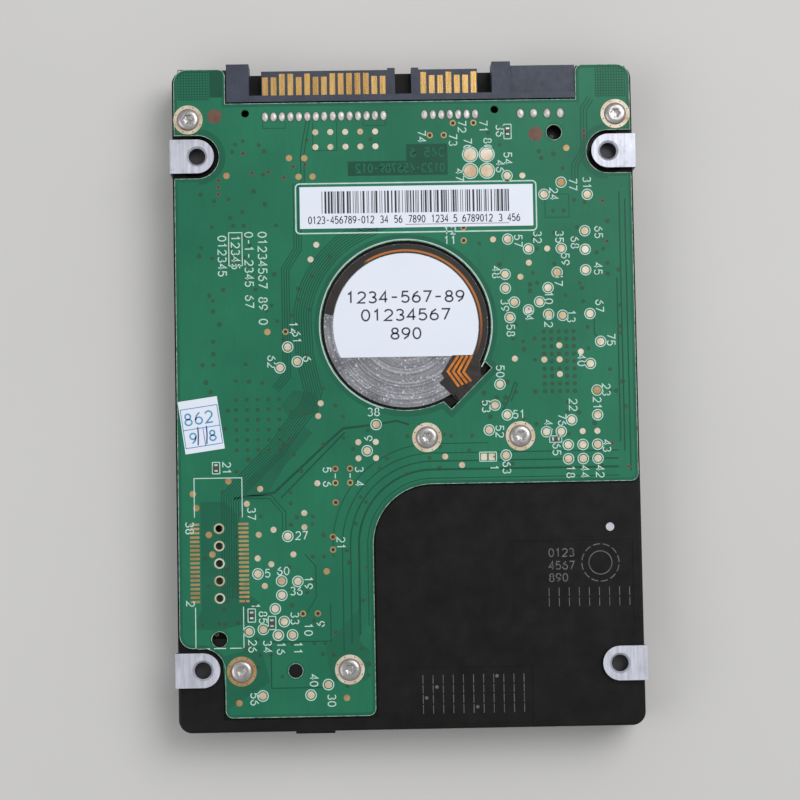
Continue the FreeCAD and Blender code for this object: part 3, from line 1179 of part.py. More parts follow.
def connector():
    """The plug: a bar with two tongues, their keys, the guide block, the jumper block and all contacts."""
    places = contact_places()
    strips = [contact(f"contact_{i}", x, short_by(i)) for i, x in enumerate(places[:22])]
    jumper = []
    row = f"({FRONT} - contact_row_setback)"
    pin_low = f"({TONGUE} - 0.2)"
    for i, x in enumerate(places[22:]):
        pin = box(f"jumper_{i}_pin", f"{x} - 0.25", f"{row} - 0.25", pin_low, "0.5",
                  f"{FRONT} - 1.3 - {row} + 0.25", "0.5")
        tail = box(f"jumper_{i}_tail", f"{x} - 0.25", f"{row} - 0.25", pin_low, "0.5", "0.5",
                   f"{BOARD_TOP} + 0.15 - {pin_low}")
        jumper.append(fuse(f"jumper_{i}", pin, tail))
    node("sata_contacts", group("contact_group", *strips))
    node("jumper_pins", group("jumper_group", *jumper))
    bottom = f"({CONNECTOR_TOP} - connector_height)"
    tongue_low = f"({TONGUE} - tongue_thickness)"
    tongue_end = "0.7"

    def block(name, x_low, x_high, z, top, short):
        return box(name, x_low, CONNECTOR_REAR, z, f"{x_high} - ({x_low})",
                   f"{FRONT} - {short} - {CONNECTOR_REAR}", f"{top} - {z}")

    bar = box("plug_bar", "-26.4", CONNECTOR_REAR, bottom, "52.5", "connector_bar", "connector_height")
    solids = [
        bar,
        block("guide_block", "-26.4", "-23.0", bottom, CONNECTOR_TOP, "0"),
        block("guide_flange", "-28.0", "-26.4", bottom, f"({bottom} + 1.8)", "0.3"),
        block("power_tongue", "-21.2", "-0.95", tongue_low, TONGUE, tongue_end),
        block("power_key", "-2.1", "-0.95", bottom, TONGUE, "0.4"),
        block("signal_tongue", "1.5", "11.5", tongue_low, TONGUE, tongue_end),
        block("signal_key", "1.5", "2.6", bottom, TONGUE, "0.4"),
        block("jumper_block", "13.6", "26.1", bottom, f"({CONNECTOR_TOP} - 0.3)", tongue_end),
        block("jumper_shoulder", "13.6", "16.4", bottom, CONNECTOR_TOP, "0.1"),
    ]
    pocket = box("jumper_pocket", "16.9", f"{CONNECTOR_REAR} + connector_bar", f"({TONGUE} - 1.5)", "8.0",
                 "8", "2.5")
    slots = []
    for i, x in enumerate(places[:22]):
        slots.append(box(f"plug_slot_{i}", f"{x} - contact_width / 2", f"{CONNECTOR_REAR} - 1",
                         f"({TONGUE} - contact_thickness)",
                         "contact_width", f"{FRONT} - {CONNECTOR_REAR} - 0.1 - {short_by(i)}",
                         "contact_thickness"))
    for i, x in enumerate(places[22:]):
        slots.append(box(f"jumper_slot_{i}", f"{x} - 0.25", f"{CONNECTOR_REAR} - 1", pin_low, "0.5", "3",
                         "0.5"))
    node("connector_housing", cut("plug_cut", fuse("plug_whole", *solids), pocket, *slots))


def short_by(index):
    """Ground and precharge contacts reach further along the tongue than the others."""
    return "0" if index in (2, 3, 5, 8, 9, 10, 11, 12, 15, 18, 21) else "0.5"


# ---------------------------------------------------------------- build, check and write
BUILDERS = [base_casting, top_cover, cover_gasket, cover_screws, cover_trim, motor_stator, spindle_rotor,
            actuator_comb,
            head_suspensions, pivot_bearing, voice_coil, voice_coil_motor, actuator_latch, load_ramp,
            inner_flex,
            air_cleaning, circuit_board, board_screws, board_parts, motor_flex, outside_labels, connector]


def check_and_write():
    """Stops on any failed object or unsound piece, then writes one file for each node."""
    doc.recompute()
    failed = [thing.Name for thing in doc.Objects if {"Invalid", "Error"} & set(thing.State)]
    if failed:
        raise RuntimeError(f"objects failed: {failed}")
    for name, thing in NODES.items():
        if thing.Shape.isNull() or not thing.Shape.isValid() or not thing.Shape.Solids:
            raise RuntimeError(f"{name} has no sound shape")
    os.makedirs("parts", exist_ok=True)
    for name, thing in NODES.items():
        thing.Shape.exportStep(f"parts/{name}.step")
        print(f"{name}: {len(thing.Shape.Solids)} solids, {thing.Shape.Volume:.2f} cubic mm")


for build in BUILDERS:
    build()
check_and_write()
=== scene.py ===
"""Looks of a 2.5 inch hard disk drive lying on its cover, circuit board side up.

Sizes in this script are in millimetres unless a name says otherwise: MM turns them into metres.
Places come from the CAD nodes' boxes, with offsets measured from the spindle axis and the board's edges.
"""
import math
import random

import bmesh
import bpy
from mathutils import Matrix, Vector


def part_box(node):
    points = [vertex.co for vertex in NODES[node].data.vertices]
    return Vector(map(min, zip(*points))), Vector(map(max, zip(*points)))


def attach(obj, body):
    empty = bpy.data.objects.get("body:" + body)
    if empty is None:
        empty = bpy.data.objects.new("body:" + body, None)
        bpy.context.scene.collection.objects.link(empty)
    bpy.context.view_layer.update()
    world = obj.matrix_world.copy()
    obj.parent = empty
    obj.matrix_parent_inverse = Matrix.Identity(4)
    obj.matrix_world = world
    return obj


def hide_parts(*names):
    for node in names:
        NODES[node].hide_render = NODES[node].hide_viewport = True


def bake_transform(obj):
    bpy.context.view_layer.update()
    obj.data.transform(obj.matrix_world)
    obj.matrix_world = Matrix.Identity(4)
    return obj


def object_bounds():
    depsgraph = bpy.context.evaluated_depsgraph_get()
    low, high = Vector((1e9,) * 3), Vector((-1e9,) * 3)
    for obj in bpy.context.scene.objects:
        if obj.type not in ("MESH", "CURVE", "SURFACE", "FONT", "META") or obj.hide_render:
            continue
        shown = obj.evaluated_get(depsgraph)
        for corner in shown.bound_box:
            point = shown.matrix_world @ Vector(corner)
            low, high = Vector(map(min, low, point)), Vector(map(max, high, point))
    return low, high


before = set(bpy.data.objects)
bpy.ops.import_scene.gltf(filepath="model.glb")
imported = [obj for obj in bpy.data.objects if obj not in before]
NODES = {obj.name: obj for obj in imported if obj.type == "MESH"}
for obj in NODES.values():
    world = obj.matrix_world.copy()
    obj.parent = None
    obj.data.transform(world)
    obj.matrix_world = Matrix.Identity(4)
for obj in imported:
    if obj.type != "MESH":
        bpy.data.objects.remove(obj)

CAD_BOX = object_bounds()
MM = 0.001
BODY = "drive_body"


def span(node):
    """Lowest and highest corner of a CAD node in millimetres."""
    low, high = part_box(node)
    return Vector(low) / MM, Vector(high) / MM


CASE_LOW, CASE_HIGH = span("base_casting")
CUP_LOW, CUP_HIGH = span("motor_cup")
BOARD_TOP = span("circuit_board")[1].z
CUP_FACE = CUP_HIGH.z
LUG_FACE = CASE_HIGH.z
SPIN_Y = (CUP_LOW.y + CUP_HIGH.y) / 2
PLATEAU_TOP = LUG_FACE - 1.05
EDGE = CASE_HIGH.x
FRONT = span("connector_housing")[1].y
REAR = CASE_LOW.y
HOLE_X = EDGE - 4.065
ROW_FRONT = FRONT - 14.0
ROW_REAR = REAR + 9.6
SEED = 20


# ---------------------------------------------------------------- mesh helpers
def prism(bm, outline, low, high):
    """A closed block over a flat outline of (x, y) points."""
    bottom = [bm.verts.new((x * MM, y * MM, low * MM)) for x, y in outline]
    top = [bm.verts.new((x * MM, y * MM, high * MM)) for x, y in outline]
    count = len(outline)
    bm.faces.new(top)
    bm.faces.new(list(reversed(bottom)))
    for i in range(count):
        j = (i + 1) % count
        bm.faces.new((bottom[i], bottom[j], top[j], top[i]))


def circle_points(x, y, radius, count=24, start=0.0, sweep=360.0, wide=1.0):
    """Points round a circle or an arc of it; wide stretches it along y."""
    last = count if sweep >= 360 else count - 1
    turns = [math.radians(start + sweep * i / last) for i in range(count)]
    return [(x + radius * math.cos(t), y + wide * radius * math.sin(t)) for t in turns]


def disc(bm, x, y, radius, low, high, count=20, wide=1.0):
    prism(bm, circle_points(x, y, radius, count, wide=wide), low, high)


def shifted(points, distance, closed=False):
    """A line moved to its left by a distance, with mitred corners."""
    spots = [Vector(p) for p in points]
    count = len(spots)
    moved = []
    for i, spot in enumerate(spots):
        before = spots[i - 1] if (i or closed) else None
        after = spots[(i + 1) % count] if (i < count - 1 or closed) else None
        trail = (after - spot).normalized() if after is not None else (spot - before).normalized()
        lead = (spot - before).normalized() if before is not None else trail
        along = lead + trail
        along = along.normalized() if along.length > 1e-6 else lead
        across = Vector((-along.y, along.x))
        turned = abs(across.dot(Vector((-lead.y, lead.x))))
        moved.append(spot + across * distance / max(0.4, turned))
    return moved


def strip(bm, left, right, low, high, closed=False):
    """A flat closed band between two lines of the same number of points."""
    rows = [[bm.verts.new((p[0] * MM, p[1] * MM, z * MM)) for p in line]
            for line, z in ((left, low), (right, low), (right, high), (left, high))]
    count = len(left)
    for i in range(count if closed else count - 1):
        j = (i + 1) % count
        for a, b in zip(rows, rows[1:] + rows[:1]):
            bm.faces.new((a[i], b[i], b[j], a[j]))
    if not closed:
        for i in (0, count - 1):
            bm.faces.new([row[i] for row in rows])


def ring(bm, x, y, outer, inner, low, high, count=24, start=0.0, sweep=360.0, wide=1.0):
    """A flat ring, or a stretch of one."""
    far = circle_points(x, y, outer, count, start, sweep, wide)
    near = circle_points(x, y, inner, count, start, sweep, wide)
    strip(bm, near, far, low, high, closed=sweep >= 360)


def stroke(bm, points, width, low, high, closed=False):
    """A line of even width with mitred corners."""
    strip(bm, shifted(points, width / 2, closed), shifted(points, -width / 2, closed), low, high, closed)


def rectangle(x_low, y_low, x_high, y_high):
    return [(x_low, y_low), (x_high, y_low), (x_high, y_high), (x_low, y_high)]


def rounded(x_low, y_low, x_high, y_high, radius, steps=5):
    """Points round a rectangle with round corners, anticlockwise."""
    corners = [(x_high - radius, y_high - radius, 0), (x_low + radius, y_high - radius, 90),
               (x_low + radius, y_low + radius, 180), (x_high - radius, y_low + radius, 270)]
    return [p for x, y, start in corners for p in circle_points(x, y, radius, steps + 1, start, 90)]


def solid(name, bm, material):
    """Turns a finished mesh into an object with a material."""
    mesh = bpy.data.meshes.new(name)
    bmesh.ops.recalc_face_normals(bm, faces=bm.faces)
    bm.to_mesh(mesh)
    bm.free()
    made = bpy.data.objects.new(name, mesh)
    bpy.context.scene.collection.objects.link(made)
    mesh.materials.append(material)
    return made


def piece(name, bm, material, body=BODY, smooth=False):
    """A solid that rides on a CAD body."""
    made = solid(name, bm, material)
    for polygon in made.data.polygons:
        polygon.use_smooth = smooth
    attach(made, body)
    return made


# ---------------------------------------------------------------- digits, drawn with strokes
def arc(x, y, radius_x, radius_y, start, end, steps=8):
    turns = [math.radians(start + (end - start) * i / steps) for i in range(steps + 1)]
    return [(x + radius_x * math.cos(t), y + radius_y * math.sin(t)) for t in turns]


DIGITS = {
    "0": [arc(0.3, 0.5, 0.3, 0.5, 90, 450, 16)],
    "1": [[(0.1, 0.78), (0.32, 1.0), (0.32, 0.0)]],
    "2": [arc(0.3, 0.7, 0.3, 0.3, 160, -35, 9) + [(0.0, 0.0), (0.6, 0.0)]],
    "3": [arc(0.28, 0.75, 0.27, 0.25, 150, -90, 9), arc(0.28, 0.25, 0.31, 0.25, 90, -150, 9)],
    "4": [[(0.45, 0.0), (0.45, 1.0), (0.0, 0.3), (0.62, 0.3)]],
    "5": [[(0.55, 1.0), (0.1, 1.0), (0.05, 0.55)] + arc(0.28, 0.32, 0.31, 0.32, 120, -150, 10)],
    "6": [arc(0.3, 0.3, 0.3, 0.3, 90, 450, 14), [(0.02, 0.36), (0.12, 0.72), (0.45, 1.0)]],
    "7": [[(0.0, 1.0), (0.6, 1.0), (0.2, 0.0)]],
    "8": [arc(0.3, 0.76, 0.24, 0.24, 90, 450, 12), arc(0.3, 0.26, 0.3, 0.26, 90, 450, 12)],
    "9": [arc(0.3, 0.7, 0.3, 0.3, 90, 450, 14), [(0.58, 0.64), (0.48, 0.28), (0.15, 0.0)]],
    "-": [[(0.08, 0.48), (0.52, 0.48)]],
    " ": [],
}
PITCH = 0.88  # from one digit to the next, as a share of the digit's height


def write(bm, text, x, y, height, low, high, turn=0.0, width=0.12, stretch=1.0, mirror=False):
    """Plain numbers from the point (x, y), reading along the direction turn."""
    c, s = math.cos(math.radians(turn)), math.sin(math.radians(turn))
    for i, sign in enumerate(text):
        for line in DIGITS[sign]:
            spots = []
            for u, v in line:
                along = (i * PITCH + u) * height * stretch * (-1 if mirror else 1)
                spots.append((x + along * c - v * height * s, y + along * s + v * height * c))
            stroke(bm, spots, width, low, high)


def text_length(text, height, stretch=1.0):
    return (len(text) * PITCH - 0.28) * height * stretch


# ---------------------------------------------------------------- materials
def linear(red, green, blue):
    """A colour as it is seen on screen (0 to 255), as the renderer's linear values."""
    def one(v):
        v /= 255
        return v / 12.92 if v <= 0.04045 else ((v + 0.055) / 1.055) ** 2.4
    return (one(red), one(green), one(blue), 1.0)


class Shader:
    """A node material with short names for the nodes that it needs."""

    def __init__(self, name, colour, roughness=0.5, metallic=0.0, coat=0.0, specular=0.5):
        self.material = bpy.data.materials.new(name)
        self.material.use_nodes = True
        self.tree = self.material.node_tree
        self.main = self.tree.nodes["Principled BSDF"]
        self.main.inputs["Base Color"].default_value = colour
        self.main.inputs["Roughness"].default_value = roughness
        self.main.inputs["Metallic"].default_value = metallic
        self.main.inputs["Coat Weight"].default_value = coat
        self.main.inputs["Coat Roughness"].default_value = 0.12
        self.main.inputs["Specular IOR Level"].default_value = specular
        self.place = self.add("ShaderNodeTexCoord").outputs["Object"]

    def add(self, kind, **settings):
        node = self.tree.nodes.new(kind)
        for key, value in settings.items():
            setattr(node, key, value)
        return node

    def wire(self, source, node, socket):
        self.tree.links.new(source, node.inputs[socket])

    def noise(self, scale, detail=3.0, stretch=None, place=None):
        """Noise over the object's own coordinates; scale is in features to the metre."""
        made = self.add("ShaderNodeTexNoise")
        made.inputs["Scale"].default_value = scale
        made.inputs["Detail"].default_value = detail
        source = place or self.place
        if stretch:
            mapping = self.add("ShaderNodeMapping")
            mapping.inputs["Scale"].default_value = stretch
            self.wire(source, mapping, "Vector")
            source = mapping.outputs["Vector"]
        self.wire(source, made, "Vector")
        return made.outputs["Fac"]

    def ramp(self, source, low, high, low_value, high_value):
        """Maps a value between two limits onto another pair, held at its ends."""
        made = self.add("ShaderNodeMapRange")
        for socket, value in zip(("From Min", "From Max", "To Min", "To Max"),
                                 (low, high, low_value, high_value)):
            made.inputs[socket].default_value = value
        self.wire(source, made, "Value")
        return made.outputs["Result"]

    def blend(self, factor, first, second):
        """A mix of two colours, each a colour or another node's output."""
        made = self.add("ShaderNodeMix", data_type="RGBA")
        self.wire(factor, made, "Factor")
        for socket, colour in ((6, first), (7, second)):
            if isinstance(colour, tuple):
                made.inputs[socket].default_value = colour
            else:
                self.tree.links.new(colour, made.inputs[socket])
        return made.outputs[2]

    def math(self, operation, first, second=None):
        made = self.add("ShaderNodeMath", operation=operation)
        for socket, value in ((0, first), (1, second)):
            if value is None:
                continue
            if isinstance(value, (int, float)):
                made.inputs[socket].default_value = value
            else:
                self.tree.links.new(value, made.inputs[socket])
        return made.outputs["Value"]

    def axes(self):
        made = self.add("ShaderNodeSeparateXYZ")
        self.wire(self.place, made, "Vector")
        return made.outputs["X"], made.outputs["Y"], made.outputs["Z"]

    def reach(self, x, y):
        """Distance in metres from an upright axis at (x, y) millimetres."""
        east, north, _ = self.axes()
        across = self.math("SUBTRACT", east, x * MM)
        along = self.math("SUBTRACT", north, y * MM)
        total = self.math("ADD", self.math("MULTIPLY", across, across), self.math("MULTIPLY", along, along))
        return self.math("SQRT", total)

    def colour(self, source):
        self.wire(source, self.main, "Base Color")

    def roughness(self, source):
        self.wire(source, self.main, "Roughness")

    def metallic(self, source):
        self.wire(source, self.main, "Metallic")

    def bump(self, source, depth, strength=1.0):
        """Bumps of this depth in millimetres."""
        made = self.add("ShaderNodeBump")
        made.inputs["Strength"].default_value = strength
        made.inputs["Distance"].default_value = depth * MM
        self.wire(source, made, "Height")
        self.wire(made.outputs["Normal"], self.main, "Normal")


def mottled(name, colour, other, scale, roughness, spread=0.08, metallic=0.0, coat=0.0, depth=0.01,
            detail=4.0, stretch=None, specular=0.5):
    """A surface whose colour and gloss wander between two shades, with a fine bump.

    The colours are as seen on screen, 0 to 255; scale is in features to the metre and depth in millimetres.
    """
    first, second = linear(*colour), linear(*other)
    made = Shader(name, first, roughness, metallic, coat, specular)
    wander = made.noise(scale, detail, stretch)
    made.colour(made.blend(made.ramp(wander, 0.3, 0.7, 0.0, 1.0), first, second))
    gloss = made.noise(scale * 2.3, detail, stretch)
    made.roughness(made.ramp(gloss, 0.3, 0.7, roughness - spread, roughness + spread))
    if depth:
        made.bump(made.noise(scale * 6, 2.0, stretch), depth)
    return made.material


def board_green():
    """Glossy green solder mask over copper, with a faint weave and cloudy tone, and pale cut edges."""
    made = Shader("solder_mask", linear(34, 116, 88), roughness=0.34, specular=0.22)
    cloud = made.noise(60, 4)
    mask = made.blend(made.ramp(cloud, 0.35, 0.65, 0, 1), linear(27, 105, 78), linear(34, 117, 86))
    weave = made.noise(1400, 2, stretch=(1.0, 0.15, 1.0))
    mask = made.blend(made.ramp(weave, 0.45, 0.8, 0, 0.35), mask, linear(27, 99, 76))
    _, _, height = made.axes()
    cut = made.ramp(height, (BOARD_TOP - 0.03) * MM, (BOARD_TOP - 0.012) * MM, 1, 0)
    made.colour(made.blend(cut, mask, linear(122, 150, 112)))
    made.bump(made.noise(900, 2), 0.006)
    return made.material


def casting_black():
    """Black dip-coated aluminium, with bare machined lug faces, hole walls and rubbed edges, and painted
    shade deep in the lug holes.
    """
    made = Shader("black_casting", linear(24, 24, 26), roughness=0.36, specular=0.16)
    coat = made.blend(made.ramp(made.noise(220, 5), 0.4, 0.75, 0, 1), linear(14, 14, 15),
                      linear(23, 23, 24))
    east, _, height = made.axes()
    bare = made.ramp(height, (LUG_FACE - 0.12) * MM, (LUG_FACE - 0.04) * MM, 0, 1)
    side = made.ramp(made.math("ABSOLUTE", east), (EDGE - 0.05) * MM, (EDGE - 0.02) * MM, 0, 1)
    bare = made.math("MAXIMUM", bare, side)
    for x in (-HOLE_X, HOLE_X):
        for y in (ROW_FRONT, ROW_REAR):
            wall = made.ramp(made.reach(x, y), 1.62 * MM, 1.66 * MM, 1, 0)
            above = made.ramp(height, (LUG_FACE - 2.7) * MM, (LUG_FACE - 2.6) * MM, 0, 1)
            bare = made.math("MAXIMUM", bare, made.math("MULTIPLY", wall, above))
    lathe = made.noise(2600, 3, stretch=(1.0, 0.08, 1.0))
    metal = made.blend(made.ramp(lathe, 0.3, 0.7, 0, 1), linear(176, 178, 190), linear(205, 207, 219))
    stain = made.noise(700, 4)
    metal = made.blend(made.ramp(stain, 0.58, 0.8, 0, 0.5), metal, linear(135, 136, 146))
    # painted shade: bare metal deeper down the lug holes is darkened, standing for the shade inside them
    lug_hole_shade = made.ramp(height, (LUG_FACE - 1.3) * MM, (LUG_FACE - 0.3) * MM, 1, 0)
    lug_hole_shade = made.math("MULTIPLY", lug_hole_shade,
                     made.ramp(made.math("ABSOLUTE", east), (EDGE - 2.4) * MM, (EDGE - 2.3) * MM, 1, 0))
    metal = made.blend(lug_hole_shade, metal, linear(70, 70, 74))
    made.colour(made.blend(bare, coat, metal))
    made.metallic(made.math("MULTIPLY", bare, 0.55))
    rough = made.ramp(made.noise(500, 4), 0.3, 0.7, 0.26, 0.42)
    made.roughness(made.math("ADD", rough, made.math("MULTIPLY", bare, 0.06)))
    made.bump(made.noise(1500, 3), 0.02, 0.5)
    return made.material


def turned_aluminium():
    """The motor's face: rings left by the lathe, worn and stained in patches."""
    made = Shader("turned_aluminium", linear(150, 150, 153), roughness=0.38, metallic=0.85)
    out = made.reach(0, SPIN_Y)
    line = made.add("ShaderNodeCombineXYZ")
    made.wire(out, line, "X")
    rings = made.noise(2600, 4, place=line.outputs["Vector"])
    broad = made.noise(520, 3, place=line.outputs["Vector"])
    blotch = made.noise(170, 5)
    grain = made.noise(2600, 3)
    tone = made.blend(made.ramp(broad, 0.3, 0.7, 0, 1), linear(84, 85, 90), linear(142, 144, 150))
    tone = made.blend(made.ramp(rings, 0.42, 0.68, 0, 0.7), tone, linear(184, 187, 194))
    tone = made.blend(made.ramp(blotch, 0.42, 0.66, 0, 0.8), tone, linear(74, 75, 80))
    tone = made.blend(made.ramp(grain, 0.58, 0.72, 0, 0.8), tone, linear(208, 212, 220))
    made.colour(tone)
    made.roughness(made.ramp(blotch, 0.3, 0.7, 0.28, 0.5))
    made.bump(made.math("ADD", rings, made.math("MULTIPLY", grain, 0.8)), 0.035, 0.7)
    return made.material


def motor_film():
    """Black cover film with a line of copper showing through near the ring's inner edge."""
    made = Shader("motor_film", linear(26, 20, 19), roughness=0.24, coat=0.15)
    out = made.reach(0, SPIN_Y)
    inside = made.ramp(out, 11.42 * MM, 11.5 * MM, 1, 0)
    outside = made.ramp(out, 11.12 * MM, 11.2 * MM, 0, 1)
    line = made.math("MULTIPLY", inside, outside)
    east, north, _ = made.axes()
    line = made.math("MULTIPLY", line, made.ramp(east, -6.2 * MM, -5.4 * MM, 0, 1))
    line = made.math("MULTIPLY", line, made.ramp(north, (SPIN_Y - 5) * MM, (SPIN_Y + 4) * MM, 0, 1))
    film = made.blend(made.ramp(made.noise(500, 4), 0.35, 0.7, 0, 1), linear(16, 12, 12),
                      linear(34, 27, 25))
    made.colour(made.blend(line, film, linear(186, 108, 34)))
    made.bump(made.noise(900, 3), 0.02, 0.6)
    return made.material


MATERIALS = {
    "mask": board_green(),
    "casting": casting_black(),
    "aluminium": turned_aluminium(),
    "film": motor_film(),
    "screw": mottled("screw_steel", (150, 148, 147), (178, 176, 176), 900, 0.3, 0.08, metallic=0.95,
                     depth=0.008),
    "bare_mask": mottled("mask_on_laminate", (23, 92, 69), (27, 100, 75), 200, 0.36, 0.05, depth=0.004,
                         specular=0.22),
    "print": mottled("white_print", (203, 226, 218), (172, 205, 194), 900, 0.6, 0.06, depth=0.01),
    "pad": mottled("tinned_pad", (218, 210, 194), (186, 158, 124), 420, 0.42, 0.08, metallic=0.35,
                   depth=0.01),
    "gold_pad": mottled("gold_pad", (182, 158, 112), (160, 116, 76), 420, 0.4, 0.08, metallic=0.5,
                        depth=0.01),
    "copper": mottled("covered_copper", (84, 62, 50), (112, 72, 52), 900, 0.5, 0.08, depth=0.01),
    # painted shade: near-black discs that stand for the shade inside holes
    "dark": mottled("painted_hole_shade", (16, 24, 20), (24, 34, 28), 900, 0.6, 0.05, depth=0),
    "solder": mottled("solder", (226, 226, 222), (168, 160, 156), 1500, 0.34, 0.1, metallic=0.3,
                      depth=0.03),
    "paper": mottled("label_film", (226, 232, 244), (231, 236, 246), 120, 0.42, 0.05, coat=0.1,
                     depth=0.004),
    "ink": mottled("black_ink", (24, 26, 36), (36, 38, 50), 700, 0.5, 0.05, depth=0),
    "blue_ink": mottled("blue_ink", (58, 132, 184), (92, 158, 200), 700, 0.55, 0.05, depth=0),
    "pen": mottled("pen_ink", (42, 46, 110), (62, 66, 130), 700, 0.5, 0.05, depth=0),
    "plug": mottled("plug_plastic", (35, 42, 59), (48, 55, 73), 420, 0.46, 0.08, depth=0.02, detail=5),
    "contact": mottled("gold_contact", (178, 140, 82), (205, 170, 108), 700, 0.28, 0.07, metallic=0.9,
                       depth=0.01, stretch=(1, 0.1, 1)),
    "copper_trace": mottled("copper_trace", (222, 134, 34), (176, 92, 22), 700, 0.3, 0.06, metallic=0.5,
                            coat=0.3),
    "resin": mottled("black_resin", (34, 35, 37), (44, 45, 47), 800, 0.6, 0.06, depth=0.01),
    "rubber": mottled("rubber", (26, 26, 27), (34, 34, 35), 500, 0.75, 0.06, depth=0.02),
    "cover": mottled("cover_steel", (168, 170, 174), (184, 186, 190), 90, 0.38, 0.06, metallic=0.85,
                     depth=0.01, stretch=(1, 0.06, 1)),
    "steel": mottled("ground_steel", (160, 160, 163), (186, 186, 189), 900, 0.3, 0.08, metallic=0.95,
                     stretch=(1, 0.2, 1)),
    "block": mottled("milled_aluminium", (176, 177, 181), (194, 195, 199), 600, 0.32, 0.06, metallic=0.9,
                     stretch=(1, 0.15, 1)),
    "mirror": mottled("disc_coating", (196, 196, 199), (201, 201, 204), 60, 0.06, 0.02, metallic=1.0,
                      depth=0),
    "winding": mottled("winding", (160, 84, 40), (190, 108, 54), 3000, 0.35, 0.08, metallic=0.6,
                       stretch=(1, 1, 0.1)),
    "magnet": mottled("nickel_plate", (150, 148, 142), (170, 168, 163), 300, 0.28, 0.06, metallic=0.95),
    "white": mottled("white_plastic", (205, 203, 195), (214, 212, 205), 300, 0.5, 0.05, depth=0.01),
    "amber": mottled("amber_film", (168, 96, 30), (150, 80, 24), 400, 0.3, 0.05, coat=0.3),
    "felt": mottled("felt", (220, 219, 212), (200, 199, 192), 2500, 0.9, 0.04, depth=0.06),
    "trace_dark": mottled("trace_gap", (17, 72, 55), (20, 80, 60), 300, 0.36, 0.05, depth=0.004,
                          specular=0.22),
    "cut_edge": mottled("board_cut_edge", (52, 122, 98), (190, 214, 200), 1500, 0.45, 0.06, depth=0.01),
    "via": mottled("via_copper", (30, 74, 52), (66, 78, 46), 500, 0.4, 0.06, depth=0, specular=0.22),
    "chip_brown": mottled("resistor_body", (62, 44, 38), (78, 56, 48), 900, 0.5, 0.06, depth=0.01),
    "slate_ink": mottled("slate_ink", (34, 38, 54), (48, 52, 70), 900, 0.5, 0.05, depth=0),
    "film_plain": mottled("tail_film", (16, 12, 12), (34, 27, 25), 500, 0.25, 0.08, coat=0.15, depth=0.02),
    "casting_mark": mottled("casting_mark", (74, 74, 77), (104, 104, 108), 900, 0.4, 0.08, metallic=0.2,
                            depth=0.01),
    "bare_metal": mottled("bare_metal", (176, 178, 190), (205, 207, 219), 900, 0.34, 0.08, metallic=0.6,
                          depth=0.01),
    "foam": mottled("foam", (70, 71, 73), (56, 57, 59), 2500, 0.95, 0.03, depth=0.05),
}
CAD_FINISH = {
    "mask": ["circuit_board"],
    "casting": ["base_casting"],
    "aluminium": ["motor_cup"],
    "film": ["motor_flex"],
    "screw": ["board_screws", "cover_screws", "pivot_screw", "clamp_screw"],
    "paper": ["board_label", "motor_label", "date_sticker", "cover_labels"],
    "plug": ["connector_housing"],
    "contact": ["sata_contacts", "jumper_pins", "motor_contacts"],
    "resin": ["controller_chip", "motor_driver_chip", "memory_chip", "small_chips", "preamp_chip",
              "head_connector", "flex_bracket", "coil_frame", "head_sliders"],
    "rubber": ["cover_gasket", "crash_stops"],
    "cover": ["top_cover"],
    "steel": ["bearing_sleeve", "bearing_cap", "spindle_shaft", "disc_clamp", "pivot_shaft", "pivot_sleeve",
              "bearing_inner_races", "bearing_outer_races", "bearing_balls", "head_suspensions",
              "vcm_posts", "latch_pin", "stator_core"],
    "mirror": ["disc_cover_side", "disc_base_side"],
    "winding": ["stator_windings", "voice_coil"],
    "magnet": ["rotor_magnet", "vcm_magnets", "vcm_yoke_cover_side", "vcm_yoke_base_side"],
    "white": ["load_ramp", "actuator_latch", "chip_capacitors"],
    "amber": ["actuator_flex"],
    "felt": ["breather_filter", "recirculation_filter", "drying_packet"],
    "foam": ["board_pads"],
    "block": ["rotor_hub", "disc_spacer", "actuator_comb"],
}
for finish, names in CAD_FINISH.items():
    for name in names:
        NODES[name].data.materials.clear()
        NODES[name].data.materials.append(MATERIALS[finish])

# ---------------------------------------------------------------- levels of the thin layers on the board
SUNK = BOARD_TOP - 0.01
BARE = BOARD_TOP + 0.0025       # mask straight on the laminate
COVERED = BOARD_TOP + 0.005     # copper under the mask
LAID = BOARD_TOP + 0.008        # bare pads
PRINT = BOARD_TOP + 0.014       # white print
DRILLED = BOARD_TOP + 0.018     # dark discs of painted shade that stand for holes


def top_outlines(node):
    """The outlines of a node's highest flat face, each turning left round its material."""
    mesh = NODES[node].data
    height = max(v.co.z for v in mesh.vertices)
    spot = [tuple(round(c / MM, 4) for c in v.co) for v in mesh.vertices]
    edges = set()
    for polygon in mesh.polygons:
        loop = list(polygon.vertices)
        if polygon.normal.z > 0.9 and all(mesh.vertices[i].co.z > height - 1e-6 for i in loop):
            edges.update(zip([spot[i] for i in loop], [spot[i] for i in loop[1:] + loop[:1]]))
    following = {a: b for a, b in edges if (b, a) not in edges}
    outlines = []
    while following:
        point = next(iter(sorted(following)))
        outline = []
        while point in following:
            outline.append(point[:2])
            point = following.pop(point)
        outlines.append(outline)
    return outlines


def reach_of(outline):
    xs, ys = [p[0] for p in outline], [p[1] for p in outline]
    return max(max(xs) - min(xs), max(ys) - min(ys))


# ---------------------------------------------------------------- the board's copper, mask and print
PLATEAU_EDGE = -13.5        # where the board stops in front of the raised casting
CORNER = Vector((3.5, -22.4))   # centre of the board's big inner corner
CORNER_RADIUS = 8.9
LEG_EDGE = CORNER.x - CORNER_RADIUS


def edge_line(distance, x_end, y_end):
    """A line that follows the plateau's edge, at a distance from it, and turns down the leg."""
    bend = arc(CORNER.x, CORNER.y, CORNER_RADIUS + distance, CORNER_RADIUS + distance, 90, 180, 18)
    return [(x_end, PLATEAU_EDGE + distance)] + bend + [(LEG_EDGE - distance, y_end)]


def lines(bm, path, count, pitch, width, low=SUNK, high=COVERED):
    """Several lines side by side."""
    for i in range(count):
        stroke(bm, shifted(path, (i - (count - 1) / 2) * pitch), width, low, high)


